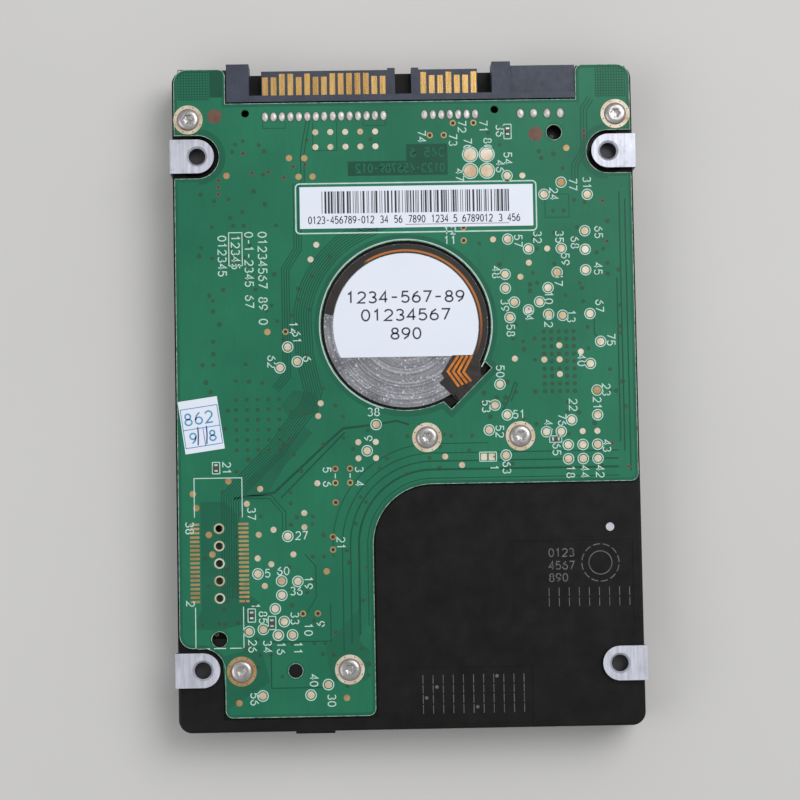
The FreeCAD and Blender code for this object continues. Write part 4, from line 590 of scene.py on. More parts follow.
def motor_side(radius, start, end):
    return arc(0, SPIN_Y, radius, radius, start, end, 16)


TEST_HOLE_Y = -19.6
TEST_HOLE_PITCH = 2.58
BARE_AREAS = [  # stretches of the board with no copper under the mask
    [(-31.0, -15.6), (-31.0, -31.6), (-32.4, -34.4), (-29.2, -34.6), (-29.2, -15.6)],
    [(-27.35, -15.6), (-27.35, -34.4), (-24.0, -33.6), (-22.4, -30.6), (-25.3, -28.6), (-25.6, -17.6)],
    [(-24.0, -12.6), (-15.4, -4.6), (-14.2, -5.6), (-18.4, -10.4), (-21.6, -15.4), (-24.6, -15.2)],
    [(-7.6, -31.6), (-12.8, -37.4), (-11.9, -42.4), (-6.6, -42.4), (-6.2, -38.0), (-7.6, -36.6)],
    [(-28.0, -38.6), (-22.4, -37.0), (-21.0, -42.4), (-27.4, -46.4)],
    [(-18.9, -1.4), (-16.9, 0.8), (-13.6, 0.4), (-13.2, -2.6), (-17.4, -3.6)]]


def board_edges():
    """The paler cut edge all round the board and its holes, and the copper-free margin inside it."""
    rim, margin = bmesh.new(), bmesh.new()
    outlines = sorted(top_outlines("circuit_board"), key=reach_of)
    for outline in outlines:
        size = reach_of(outline)
        if size < 1.5:
            continue
        strip(rim, outline, shifted(outline, 0.075, True), SUNK, PRINT, True)
        wide = 0.5 if size > 60 else 0.95 if size > 20 else 0.3
        strip(margin, outline, shifted(outline, wide, True), SUNK, BARE, True)
    for x in (-HOLE_X, HOLE_X):
        inward = 180 if x > 0 else 0
        ring(margin, x, ROW_FRONT, 4.25, 3.55, SUNK, BARE + 0.0007, start=inward - 88, sweep=176)
    for outline in BARE_AREAS:
        prism(margin, outline, SUNK, BARE + 0.0012)
    for i in range(-1, 5):
        high = -15.6 if i < 0 else TEST_HOLE_Y - TEST_HOLE_PITCH * i - 0.6
        low = -34.5 if i == 4 else TEST_HOLE_Y - TEST_HOLE_PITCH * (i + 1) + 0.6
        prism(margin, rectangle(-29.2, low, -27.35, high), SUNK, BARE + 0.0012)
    piece("board_cut_edge", rim, MATERIALS["cut_edge"])
    piece("board_margin", margin, MATERIALS["bare_mask"])


LONE_TRACES = [  # width and path of each line that runs alone
    (0.34, [(-4.7, -4.5), (-9.6, -5.0), (-10.8, -6.0), (-20.0, -14.4), (-26.0, -15.2)]),
    (0.3, [(-4.7, -4.5), (-1.6, -4.0), (0.2, -4.6)]),
    (0.22, [(-9.4, -5.6), (-19.0, -15.2)]),
    (0.14, [(-15.6, -23.6), (-14.0, -25.4), (-14.0, -30.0), (-16.0, -33.2)]),
    (0.16, [(-11.9, -31.0), (-11.9, -36.5), (-20.8, -36.5), (-20.8, -43.3), (-12.4, -43.3)]),
    (0.16, [(29.1, 7.4), (28.2, 8.6), (28.2, 12.2)]),
    (0.1, [(22.0, 29.7), (24.8, 29.7), (24.8, 26.2), (21.2, 26.2), (21.2, 29.0)]),
    (0.16, [(14.2, -2.8), (15.2, -1.0), (16.1, 1.5), (16.5, 1.3), (15.5, -1.4)]),
    (0.16, [(-18.0, 9.6), (-16.4, 9.6)]),
    (0.1, [(-20.95, 41.2), (-20.95, 40.3), (-17.6, 40.3), (-17.6, 41.2)]),
    (0.1, [(-5.9, 41.2), (-5.9, 40.5), (-2.6, 40.5), (-2.6, 41.3)]),
    (0.1, [(-13.5, 41.2), (-13.5, 36.8), (-9.9, 36.8), (-9.9, 41.2)])]


def board_traces():
    """Copper lines that show through the mask."""
    bm = bmesh.new()
    for distance, width in ((4.6, 0.16), (3.4, 0.2), (2.15, 0.3), (0.85, 0.14)):
        stroke(bm, edge_line(distance, 31.4, -33.5 - distance), width, SUNK, COVERED)
    stroke(bm, edge_line(6.0, 12.0, -24.0), 0.14, SUNK, COVERED)
    for x, high_end, low_end in ((32.35, 30.0, -9.0), (31.75, 17.0, -7.6), (33.2, 29.0, -12.0)):
        stroke(bm, [(x, high_end), (x, low_end)], 0.2, SUNK, COVERED)
    bundle = [(-4.0, 25.4)] + motor_side(15.6, 104, 172)
    bundle += [(-15.2, 6.0), (-14.0, 0.6), (-14.6, -1.6), (-16.2, -3.4), (-19.5, -7.8), (-25.0, -13.3),
               (-26.6, -15.2), (-26.6, -30.0)]
    lines(bm, bundle, 8, 0.36, 0.14)
    lines(bm, [(-16.0, 31.9), (-16.0, 22.0), (-17.9, 19.0), (-17.9, 3.0), (-19.6, 1.0)], 4, 0.36, 0.14)
    lines(bm, [(-14.1, 42.0), (-15.1, 36.4), (-15.1, 31.9)], 2, 0.5, 0.14)
    lines(bm, [(-24.2, -15.0), (-20.6, -15.0), (-18.6, -17.4), (-18.6, -20.0)], 2, 0.5, 0.13)
    lines(bm, [(28.4, 44.2), (27.3, 42.6), (27.3, 36.5), (25.8, 34.0), (25.8, 31.8)], 3, 0.45, 0.14)
    for width, path in LONE_TRACES:
        stroke(bm, path, width, SUNK, COVERED)
    for x_low, y_low, x_high, y_high in ((-8.3, 32.9, 6.7, 35.1), (0.5, 35.1, 6.7, 37.6)):
        prism(bm, rectangle(x_low, y_low, x_high, y_high), SUNK, COVERED)
    for x_low, x_high, y_low, y_high in ((-33.6, -29.1, 44.8, 49.3), (29.2, 33.6, 44.5, 49.0)):
        steps = 11
        for i in range(steps + 1):
            share = i / steps
            x, y = x_low + share * (x_high - x_low), y_low + share * (y_high - y_low)
            stroke(bm, [(x, y_low), (x, y_high)], 0.12, SUNK, COVERED)
            stroke(bm, [(x_low, y), (x_high, y)], 0.12, SUNK, COVERED + 0.001)
    prism(bm, rectangle(-28.9, 45.1, -26.9, 49.2), SUNK, COVERED)
    piece("board_traces", bm, MATERIALS["trace_dark"])


RINGED_PADS = [
    (15.6, 32.6), (21.1, 29.7), (27.6, 29.6), (27.1, 24.1), (15.5, 23.0), (18.6, 21.5), (23.5, 21.5),
    (27.1, 21.3), (22.8, 17.9), (27.1, 18.2), (15.0, 17.7), (21.4, 15.6), (15.0, 15.6), (16.3, 13.5),
    (20.1, 13.5), (18.4, 12.3), (21.4, 11.6), (23.5, 11.4), (27.6, 11.6), (15.6, 11.2), (29.1, 7.4),
    (27.5, 4.1), (13.9, 1.2), (13.1, -1.9), (14.9, -3.4), (12.15, -5.6), (14.6, -9.4), (28.4, -3.6),
    (24.5, -4.3), (22.9, -6.0), (20.7, -6.0), (23.9, -8.0), (26.1, -8.0), (28.3, -8.0), (23.9, -10.1),
    (26.1, -10.1), (28.3, -10.1), (-17.7, 7.3), (-16.3, 5.1), (-18.9, 4.2), (-4.7, -4.5), (-6.1, -8.4),
    (-18.1, -20.9), (-22.6, -26.4), (-19.1, -27.5), (-16.7, -27.6), (-19.1, -29.6), (-20.1, -31.6),
    (-18.8, -33.5), (-21.9, -34.6), (-24.0, -34.9), (-19.7, -35.5), (-17.6, -35.5), (-22.1, -44.4),
    (-15.0, -44.4), (-12.4, -42.9)]
GOLD_RINGED_PADS = [(23.7, 31.5), (28.4, 0.1)]
PLAIN_PADS = [
    (17.9, 32.6), (13.3, 23.0), (18.6, 19.4), (21.4, 21.5), (17.3, 17.3), (22.9, 6.9), (20.6, 4.8),
    (22.9, 4.8), (22.9, 2.6), (26.1, 5.9), (16.2, 5.0), (26.1, -6.0), (28.3, -6.0), (-7.4, -7.1),
    (-4.8, -7.1), (-7.4, -9.5), (-4.8, -9.5), (-20.2, -19.9), (-22.4, -20.6), (-22.6, -24.1),
    (-17.3, -23.6), (-20.6, -25.0), (-21.6, -28.2), (-15.6, -19.6), (-15.6, -17.5), (-24.1, -16.0),
    (-22.1, -13.8), (-13.6, -13.1), (5.5, -9.45), (8.0, -10.75), (-13.2, 22.6), (-14.1, 20.4),
    (-12.9, -1.2), (-13.3, -3.1)]
GOLD_PADS = [
    (-26.5, 33.2), (24.6, 36.7), (-17.1, 35.75), (-14.8, 35.7), (-15.7, 32.9), (-13.6, 32.9),
    (-20.7, 9.6), (-12.4, -26.2), (-25.6, -45.4), (-9.7, -44.9), (-32.1, -14.4), (-31.6, -16.5),
    (-29.8, -20.5), (-29.3, -23.4), (-26.8, -12.6)]
RINGED_HOLES = [
    (7.6, 40.7), (10.7, 40.7), (4.1, 38.9), (6.2, 38.9), (8.9, 24.9), (8.9, 22.9), (-18.0, 9.6),
    (-10.9, -11.0), (-10.9, -13.1), (-8.7, -11.0), (-8.7, -13.1), (-10.9, -16.0), (-11.4, -21.1),
    (-11.4, -23.0), (-16.0, -32.4), (-13.8, -32.4)]
SMALL_HOLES = [
    (-27.7, 32.5), (-27.75, 31.5), (-27.75, 30.4), (-16.5, 34.45), (-14.7, 34.7), (-20.2, 33.7),
    (-17.9, 32.8), (-24.0, 36.55), (-22.65, 33.6), (27.3, 39.3), (27.3, 38.5), (29.9, 28.6), (30.4, 22.5),
    (30.5, -7.9), (32.9, -11.4)]
LARGE_PADS = [(x, y) for x in (10.1, 12.6) for y in (35.9, 33.4)]
TOP_PADS = [(-13.1 + 2.25 * i, y) for i in range(5) for y in (39.6, 37.35)]
NUMBERED_DOWN = [  # plain numbers that read towards the rear: text, x, y
    ("54", 15.2, 36.1), ("77", 24.9, 32.0), ("24", 22.0, 30.6), ("31", 27.0, 32.2), ("65", 28.6, 24.7),
    ("57", 16.5, 23.6), ("32", 19.4, 24.1), ("35", 22.7, 24.1), ("68", 25.0, 23.2), ("59", 23.5, 20.7),
    ("45", 28.4, 19.2), ("48", 13.1, 18.9), ("17", 22.4, 17.6), ("39", 14.3, 13.9), ("10", 20.9, 14.9),
    ("13", 24.2, 12.1), ("67", 28.5, 13.6), ("64", 17.9, 12.5), ("12", 20.8, 11.4), ("58", 15.1, 10.1),
    ("75", 30.1, 8.5), ("40", 25.6, 5.5), ("50", 13.4, 4.0), ("53", 11.2, -1.2), ("52", 13.15, -5.0),
    ("23", 29.2, 1.0), ("21", 27.8, -1.0), ("22", 24.2, -1.2), ("76", 22.5, -3.4), ("41", 20.4, -4.3),
    ("65", 21.6, -7.8), ("18", 23.6, -11.2), ("44", 25.7, -11.2), ("42", 28.0, -11.2), ("43", 29.1, -7.4),
    ("1", 12.2, -10.9), ("63", 14.1, -10.4), ("74", 2.3, 39.6), ("73", 7.0, 39.0), ("72", 8.4, 41.0),
    ("71", 11.6, 41.0), ("36", 14.1, 40.3), ("70", 9.2, 38.3), ("80", 12.2, 38.3), ("47", 7.9, 33.7),
    ("46", 14.0, 34.9), ("61", -16.9, 9.6), ("14", -17.4, 11.0), ("6", -15.4, 5.8), ("62", -20.7, 6.0),
    ("9", -6.5, -6.2), ("5", -12.7, -10.8), ("6", -12.7, -12.9), ("3", -7.9, -10.8), ("4", -7.9, -12.9),
    ("21", -10.8, -21.2), ("19", -15.7, -27.0), ("33", -17.8, -32.2), ("16", -19.9, -36.6),
    ("34", -21.9, -36.3), ("26", -24.1, -36.2), ("11", -17.4, -36.6), ("10", -15.8, -33.9),
    ("9", -14.0, -33.6), ("40", -15.1, -41.4), ("30", -12.5, -44.4), ("56", -23.9, -44.0),
    ("21", -27.6, -9.8), ("38", -33.2, -18.6), ("37", -24.0, -16.6), ("2", -33.2, -30.3),
    ("1", -23.6, -30.8), ("85", -22.5, -32.0)]
NUMBERED_ACROSS = [
    ("51", 15.8, -3.9), ("11", 6.0, 22.4), ("12", 6.0, 23.9), ("38", -5.9, -3.2), ("27", -16.9, -21.4),
    ("5", -21.5, -26.9), ("60", -19.7, -26.6), ("36", -17.8, -29.6)]
COLUMNS = [("01234567 89 0", -21.9, 24.6, 1.24), ("0-1-2345 67", -23.9, 24.6, 1.2),
           ("12345", -25.9, 24.1, 1.2), ("012345", -27.9, 24.1, 1.2)]


def board_pads_and_holes():
    pads, gold, print_, dark, brown = bmesh.new(), bmesh.new(), bmesh.new(), bmesh.new(), bmesh.new()
    for bm, places in ((pads, RINGED_PADS), (gold, GOLD_RINGED_PADS)):
        for x, y in places:
            disc(bm, x, y, 0.55, SUNK, LAID)
            ring(print_, x, y, 0.86, 0.71, SUNK, PRINT)
    for x, y in LARGE_PADS:
        disc(pads, x, y, 0.95, SUNK, LAID)
        ring(print_, x, y, 1.22, 1.05, SUNK, PRINT, 32)
    for x, y in PLAIN_PADS + TOP_PADS:
        disc(pads, x, y, 0.45, SUNK, LAID)
    for x, y in GOLD_PADS:
        disc(gold, x, y, 0.48, SUNK, LAID)
    # the dark discs in the next loops are painted shade inside the holes
    for x, y in RINGED_HOLES:
        disc(dark, x, y, 0.27, SUNK, DRILLED, 14)
        ring(gold, x, y, 0.47, 0.27, SUNK, LAID, 16)
    for x, y in SMALL_HOLES:
        disc(brown, x, y, 0.3, SUNK, LAID, 14)
        disc(dark, x, y, 0.15, SUNK, DRILLED, 10)
    for x, y in ((-28.2, 42.2), (20.0, 38.9)):
        disc(brown, x, y, 1.1, SUNK, LAID, 28)
        disc(brown, x, y, 0.4, SUNK, PRINT, 16)
    for column_x, width in ((-31.9, 1.4), (-24.65, 1.5)):
        for i in range(19):
            y = -18.95 - 0.635 * i
            prism(gold, rounded(column_x - width / 2, y - 0.17, column_x + width / 2, y + 0.17, 0.05, 2),
                  SUNK, LAID)
    for x in (11.3, 12.45):
        prism(pads, rounded(x - 0.45, -10.1, x + 0.45, -9.1, 0.1, 2), SUNK, LAID)
    for i in range(5):
        ring(pads, -28.275, TEST_HOLE_Y - TEST_HOLE_PITCH * i, 0.78, 0.56, SUNK, LAID, 24)
    piece("board_pads_tinned", pads, MATERIALS["pad"])
    piece("board_pads_gold", gold, MATERIALS["gold_pad"])
    piece("board_hole_shade", dark, MATERIALS["dark"])
    piece("board_covered_copper", brown, MATERIALS["copper"])
    return print_


def clear_of_metal(x, y):
    """Whether a small hole may stand at this place on the board."""
    if math.hypot(x, y - SPIN_Y) < 14.6 or not -31.5 < x < 33 or not -44 < y < 40:
        return False
    if any(math.hypot(abs(x) - HOLE_X, y - row) < 5 for row in (ROW_FRONT, ROW_REAR)):
        return False
    if y < -12.4 and x > LEG_EDGE - 1:
        return False
    if y < -36 and x < -26.5:
        return False
    return not (-16.8 < x < 20.4 and 23.6 < y < 35.6)


def board_vias():
    """Rows of through-holes under the chips, and others scattered over the board."""
    copper, dark = bmesh.new(), bmesh.new()
    places = [(-25.5 + 1.6 * i, -0.5 - 1.5 * j, 0.2) for i in range(5) for j in range(6)]
    places += [(20.6 + 1.12 * i, 9.0 - 1.12 * j, 0.24) for i in range(5) for j in range(9)]
    chance = random.Random(SEED)
    busy = RINGED_PADS + GOLD_RINGED_PADS + PLAIN_PADS + GOLD_PADS + RINGED_HOLES + LARGE_PADS + TOP_PADS
    while len(places) < 300:
        x, y = chance.uniform(-31, 32.6), chance.uniform(-43.5, 39.5)
        if chance.random() < 0.45:
            x, y = round(x / 1.6) * 1.6, round(y / 1.6) * 1.6
        apart = all(math.hypot(x - px, y - py) > 1.1 for px, py in busy)
        if apart and clear_of_metal(x, y) and all(math.hypot(x - px, y - py) > 0.8 for px, py, _ in places):
            places.append((x, y, chance.choice((0.2, 0.2, 0.24, 0.28))))
    for x, y, radius in places:
        if all(math.hypot(x - px, y - py) > 0.7 for px, py in busy):
            ring(copper, x, y, radius + 0.09, radius * 0.8, SUNK, COVERED + 0.002, 12)
            # painted shade: a dark disc in each via's hole
            disc(dark, x, y, radius * 0.42, SUNK, DRILLED, 8)
    piece("via_rings", copper, MATERIALS["via"])
    piece("via_shade_discs", dark, MATERIALS["dark"])


def box_line(bm, x_low, y_low, x_high, y_high, width=0.14, radius=0.0):
    outline = rounded(x_low, y_low, x_high, y_high, radius or 0.05, 4 if radius else 1)
    stroke(bm, outline, width, SUNK, PRINT, closed=True)


def dashes(bm, start, end, step, width=0.14):
    """A broken line between two points."""
    a, b = Vector(start), Vector(end)
    count = max(1, round((b - a).length / step))
    for i in range(count):
        stroke(bm, [a.lerp(b, (i + 0.12) / count), a.lerp(b, (i + 0.88) / count)], width, SUNK, PRINT)


def board_print(bm):
    """White print: outlines, plain numbers and the frame of the label."""
    for numbers, turn in ((NUMBERED_DOWN, -90), (NUMBERED_ACROSS, 0)):
        for text, x, y in numbers:
            write(bm, text, x, y, 1.15, SUNK, PRINT, turn, 0.16)
    for text, x, y, height in COLUMNS:
        write(bm, text, x, y, height, SUNK, PRINT, -90, 0.17)
    box_line(bm, -26.3, 19.6, -24.3, 24.6)
    label_low, label_high = span("board_label")
    box_line(bm, label_low.x - 0.6, label_low.y - 0.7, label_high.x + 0.5, label_high.y + 0.5, 0.2, 0.6)
    box_line(bm, 15.25, 38.2, 16.35, 40.4)
    box_line(bm, 10.65, -10.25, 13.15, -8.9)
    box_line(bm, 21.15, -7.6, 22.95, -6.65)
    box_line(bm, -29.15, -11.45, -28.05, -9.75)
    box_line(bm, -24.15, -33.5, -23.05, -31.55)
    box_line(bm, -21.15, -34.65, -20.05, -32.7)
    for path in ([(-31.9, -17.9), (-31.9, -12.1), (-24.8, -12.1), (-24.8, -18.0)],
                 [(-24.8, -31.2), (-24.8, -37.3)], [(-31.9, -31.2), (-31.9, -37.3)]):
        stroke(bm, path, 0.14, SUNK, PRINT)
    dashes(bm, (-31.9, -37.3), (-24.8, -37.3), 2.3)
    for x, y in ((-10.9, -12.05), (-8.7, -12.05)):
        stroke(bm, [(x, y - 0.35), (x, y + 0.35)], 0.16, SUNK, PRINT)
    ring(bm, 0, SPIN_Y, 12.99, 12.86, SUNK, PRINT, 72, start=-30, sweep=284)
    piece("board_print", bm, MATERIALS["print"])


def copper_numbers():
    """Numbers etched in the inner copper, seen back to front through the mask."""
    bm = bmesh.new()
    write(bm, "0123-456789-012", 6.2, 33.4, 1.25, SUNK, COVERED + 0.003, 0, 0.17, stretch=0.82, mirror=True)
    write(bm, "345 6", 6.2, 35.7, 1.3, SUNK, COVERED + 0.003, 0, 0.17, stretch=0.95, mirror=True)
    piece("copper_numbers", bm, MATERIALS["mask"])


def small_parts():
    """Chip resistors: a dark body between two tinned ends."""
    body, ends = bmesh.new(), bmesh.new()
    for x, y, upright in ((15.8, 39.3, True), (-28.6, -10.6, True), (-23.6, -32.5, True),
                          (-20.6, -33.7, True), (22.05, -7.12, False)):
        half_x, half_y = (0.25, 0.5) if upright else (0.5, 0.25)
        in_x, in_y = half_x * 0.98, half_y * 0.98
        prism(body, rounded(x - in_x, y - in_y, x + in_x, y + in_y, 0.04, 1), SUNK, BOARD_TOP + 0.33)
        for side in (-1, 1):
            cx = x if upright else x + side * 0.42
            cy = y + side * 0.42 if upright else y
            wx, wy = (half_x, 0.13) if upright else (0.13, half_y)
            prism(ends, rounded(cx - wx, cy - wy, cx + wx, cy + wy, 0.03, 1), SUNK, BOARD_TOP + 0.34)
    piece("resistor_bodies", body, MATERIALS["chip_brown"])
    piece("resistor_ends", ends, MATERIALS["solder"])


def dome(bm, x, y, radius, wide, low, high, count=20, steps=5):
    """A round-topped drop on a flat base."""
    rows = []
    for i in range(steps):
        turn = math.radians(90 * i / steps)
        points = circle_points(x, y, radius * math.cos(turn), count, wide=wide)
        z = low + (high - low) * math.sin(turn)
        rows.append([bm.verts.new((px * MM, py * MM, z * MM)) for px, py in points])
    tip = bm.verts.new((x * MM, y * MM, high * MM))
    bm.faces.new(list(reversed(rows[0])))
    for a, b in zip(rows, rows[1:]):
        for i in range(count):
            j = (i + 1) % count
            bm.faces.new((a[i], a[j], b[j], b[i]))
    for i in range(count):
        bm.faces.new((rows[-1][i], rows[-1][(i + 1) % count], tip))


POWER_X = [-20.6 + 1.27 * i for i in range(15)]
SIGNAL_X = [3.35 + 1.27 * i for i in range(7)]
JUMPER_X = [17.8 + 2.0 * i for i in range(4)]
TAIL_Y = 42.0


def solder_joints():
    drops, dark = bmesh.new(), bmesh.new()
    for x in POWER_X + SIGNAL_X + JUMPER_X:
        grown = 1.12 if x > 14 else 1.0
        dome(drops, x, TAIL_Y, 0.5 * grown, 1.45 / grown, BOARD_TOP - 0.01, BOARD_TOP + 0.3)
        # painted shade: a dark ring round the foot of each joint, in the hollow
        ring(dark, x, TAIL_Y, 0.56 * grown, 0.42, SUNK, LAID, 20, wide=1.4 / grown)
    piece("solder_joints", drops, MATERIALS["solder"], smooth=True)
    piece("solder_hollow_shade", dark, MATERIALS["dark"])


# ---------------------------------------------------------------- screws
SCREWS = [(-32.175, 41.75), (32.075, 41.8), (2.85, -6.55), (16.8, -6.55), (-25.175, -40.75), (-9.2, -40.75)]


def turned(bm, x, y, rows, count=48):
    """A closed turned solid; rows are (radius, height, lobe), and a lobe makes a six-pointed ring."""
    loops = []
    for radius, z, lobe in rows:
        loop = []
        for i in range(count):
            turn = 2 * math.pi * i / count
            out = radius + lobe * math.cos(6 * turn)
            loop.append(bm.verts.new(((x + out * math.cos(turn)) * MM, (y + out * math.sin(turn)) * MM,
                                      z * MM)))
        loops.append(loop)
    for a, b in zip(loops, loops[1:]):
        for i in range(count):
            j = (i + 1) % count
            bm.faces.new((a[i], a[j], b[j], b[i]))
    bm.faces.new(list(reversed(loops[0])))
    bm.faces.new(loops[-1])


def board_screws():
    """Pan head screws with six-lobed recesses, on ringed pads with a circle of small holes."""
    low, high = span("board_screws")
    screws, pads, gold, dark = bmesh.new(), bmesh.new(), bmesh.new(), bmesh.new()
    top = high.z
    rows = [(0.85, low.z, 0), (0.85, BOARD_TOP - 0.03, 0), (1.6, BOARD_TOP + 0.005, 0),
            (1.65, BOARD_TOP + 0.04, 0), (1.63, BOARD_TOP + 0.18, 0), (1.52, BOARD_TOP + 0.33, 0),
            (1.32, top - 0.07, 0), (1.12, top - 0.015, 0), (0.95, top, 0), (0.72, top - 0.01, 0.07),
            (0.66, top - 0.06, 0.08), (0.62, top - 0.34, 0.07), (0.3, top - 0.42, 0)]
    for x, y in SCREWS:
        turned(screws, x, y, rows)
        golden = y < -20 and x < -20
        ring(gold if golden else pads, x, y, 2.2, 1.4, SUNK, LAID, 36)
        for i in range(8):
            turn = math.radians(45 * i + 22)
            # painted shade: small dark discs for the holes round each pad
            disc(dark, x + 1.96 * math.cos(turn), y + 1.96 * math.sin(turn), 0.09, SUNK, DRILLED, 8)
    made = piece("board_screw_heads", screws, MATERIALS["screw"], smooth=True)
    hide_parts("board_screws")
    sharpen(made)
    piece("screw_pads_tinned", pads, MATERIALS["pad"])
    piece("screw_pads_gold", gold, MATERIALS["gold_pad"])
    piece("screw_pad_hole_shade", dark, MATERIALS["dark"])


def sharpen(made, angle=35):
    """Keeps edges crisp where two smooth faces meet at more than this angle."""
    made.data.set_sharp_from_angle(angle=math.radians(angle))


# ---------------------------------------------------------------- labels
def bars(bm, x_low, x_high, y_low, y_high, low, high, seed):
    """Upright bars of uneven width, as on a stock label."""
    chance = random.Random(seed)
    x = x_low
    while x < x_high:
        width = chance.choice((0.1, 0.1, 0.2, 0.3))
        prism(bm, rectangle(x, y_low, x + width, y_high), low, high)
        x += width + chance.choice((0.1, 0.14, 0.2, 0.32))


def board_label():
    low, high = span("board_label")
    ink = bmesh.new()
    face = high.z
    bars(ink, low.x + 3.3, high.x - 3.6, low.y + 2.25, high.y - 0.7, face - 0.005, face + 0.004, SEED + 1)
    x = low.x + 1.3
    for text in ("0123-456789-012", "34", "56", "7890", "1234 5 6789012", "3 456"):
        write(ink, text, x, low.y + 0.75, 1.05, face - 0.005, face + 0.004, 0, 0.15, stretch=0.72)
        x += text_length(text, 1.05, 0.72) + 1.0
    prism(ink, rectangle(0.2, low.y + 0.42, 15.8, low.y + 0.5), face - 0.005, face + 0.004)
    piece("board_label_print", ink, MATERIALS["ink"])


def centred(bm, text, y, height, low, high, width, stretch=1.0):
    write(bm, text, -text_length(text, height, stretch) / 2, y - height / 2, height, low, high, 0, width,
          stretch)


def motor_face():
    """The label's numbers, and the film tail with its four copper lines."""
    face = span("motor_label")[1].z
    ink = bmesh.new()
    for text, y, stretch in (("1234-567-89", 14.6, 1.15), ("01234567", 11.9, 1.2), ("890", 9.1, 1.15)):
        centred(ink, text, y, 1.62, face - 0.005, face + 0.005, 0.25, stretch)
    piece("motor_label_print", ink, MATERIALS["slate_ink"])
    patch = bmesh.new()
    outline = [(6.9, 5.7), (10.35, 5.7), (11.1, 4.4), (11.0, 1.9), (9.7, -0.6), (8.3, -1.9), (6.9, 0.3),
               (5.2, 3.0)]
    prism(patch, outline, CUP_FACE - 0.01, CUP_FACE + 0.115)
    piece("motor_tail_film", patch, MATERIALS["film_plain"])
    copper = bmesh.new()
    for i in range(4):
        top, bend, foot = 7.75 + 0.68 * i, 6.15 + 0.78 * i, 7.75 + 0.62 * i
        path = [(top, 5.6), (bend, 3.3 - 0.05 * i), (foot, 1.0 + 0.25 * i)]
        stroke(copper, path, 0.36, CUP_FACE + 0.1, CUP_FACE + 0.13)
    piece("motor_tail_copper", copper, MATERIALS["copper_trace"])


def date_sticker():
    """A small slanted sticker with a printed grid and two pen strokes."""
    low, high = span("date_sticker")
    face = high.z
    centre = (low + high) / 2
    lean = 8.0
    c, s = math.cos(math.radians(lean)), math.sin(math.radians(lean))

    def at(u, v):
        return centre.x + u * c - v * s, centre.y + u * s + v * c

    grid, pen = bmesh.new(), bmesh.new()
    half_x, half_y = 2.75, 3.1
    for v in (-half_y, -0.4, half_y - 0.4):
        stroke(grid, [at(-half_x, v), at(half_x, v)], 0.13, face - 0.005, face + 0.003)
    for u in (-half_x, half_x):
        stroke(grid, [at(u, -half_y), at(u, half_y - 0.4)], 0.13, face - 0.005, face + 0.003)
    stroke(grid, [at(0.2, -half_y), at(0.2, -0.4)], 0.13, face - 0.005, face + 0.003)
    for u, digit in ((-2.3, "8"), (-0.75, "6"), (0.8, "2")):
        x, y = at(u, 0.25)
        write(grid, digit, x, y, 1.7, face - 0.005, face + 0.003, lean, 0.24)
    for u, digit in ((-1.9, "9"), (1.0, "8")):
        x, y = at(u, -2.5)
        write(grid, digit, x, y, 1.5, face - 0.005, face + 0.003, lean, 0.24)
    for u in (-0.55, 0.75):
        stroke(pen, [at(u, -0.2), at(u - 0.1, -1.5), at(u - 0.35, -2.9)], 0.2, face - 0.004, face + 0.006)
    piece("date_sticker_grid", grid, MATERIALS["blue_ink"])
    piece("date_sticker_pen", pen, MATERIALS["pen"])


# ---------------------------------------------------------------- marks cast in the raised end
def casting_marks():
    """Raised ticks, rows of plain numbers and a ring on the two sunk panels, and an ejector dot."""
    bm = bmesh.new()
    floor = PLATEAU_TOP - 0.12
    low, high = floor - 0.02, floor + 0.05
    for i in range(9):
        x = 20.6 + 1.5 * i
        for a, b in ((-29.2, -30.5), (-30.75, -32.0)):
            stroke(bm, [(x, a), (x, b)], 0.11, low, high)
    for i in range(11):
        x = 1.6 + 1.5 * i
        for a, b in ((-41.8, -43.1), (-43.3, -44.5), (-44.7, -46.0), (-46.2, -47.5)):
            stroke(bm, [(x, a), (x, b)], 0.11, low, high)
    for x, y in ((12.6, -42.1), (3.65, -43.6), (2.1, -45.15), (9.65, -46.6)):
        disc(bm, x, y, 0.26, low, high, 14)
    for i in range(12):
        ring(bm, 28.35, -25.6, 2.85, 2.7, low, high, 4, start=30 * i, sweep=22)
    ring(bm, 28.35, -25.6, 1.8, 1.66, low, high, 24)
    for row, text in ((-24.6, "0123"), (-26.5, "4567"), (-28.3, "890")):
        write(bm, text, 20.7, row, 1.15, low, high, 0, 0.16)
    piece("casting_marks", bm, MATERIALS["casting_mark"])
    dot = bmesh.new()
    disc(dot, 29.9, -20.3, 0.62, PLATEAU_TOP - 0.05, PLATEAU_TOP + 0.015, 24)
    piece("ejector_dot", dot, MATERIALS["bare_metal"])


# ---------------------------------------------------------------- cover side
def cover_print():
    """Rows of plain numbers and bars on the large cover label, read from below."""
    low, high = span("cover_labels")
    face = low.z
    ink = bmesh.new()
    deep, near = face - 0.004, face + 0.005
    x_right = min(high.x, 26.0)
    for row, text in enumerate(("0123 456 789", "012 345", "6789 0123 4567", "89 01 23", "4567 890")):
        write(ink, text, x_right - 2, 34.0 - 4.2 * row, 2.0 if row else 2.8, deep, near, 0, 0.26,
              mirror=True)
    for row in range(6):
        write(ink, "0123456789 01234 56789", x_right - 2, 9.5 - 2.1 * row, 1.15, deep, near, 0, 0.14,
              mirror=True)
    bars(ink, -22.0, 22.0, -14.5, -8.0, deep, near, SEED + 2)
    write(ink, "012345678901", x_right - 6, -18.5, 1.7, deep, near, 0, 0.2, mirror=True)
    stroke(ink, rectangle(-25.6, -23.5, 25.6, 38.6), 0.2, deep, near, closed=True)
    piece("cover_label_print", ink, MATERIALS["ink"])


def soft_edges(node, width):
    """Tiny rounded edges that catch the light."""
    bevel = NODES[node].modifiers.new("soft_edges", "BEVEL")
    bevel.width = width * MM
    bevel.segments = 2
    bevel.limit_method = "ANGLE"
    bevel.angle_limit = math.radians(40)


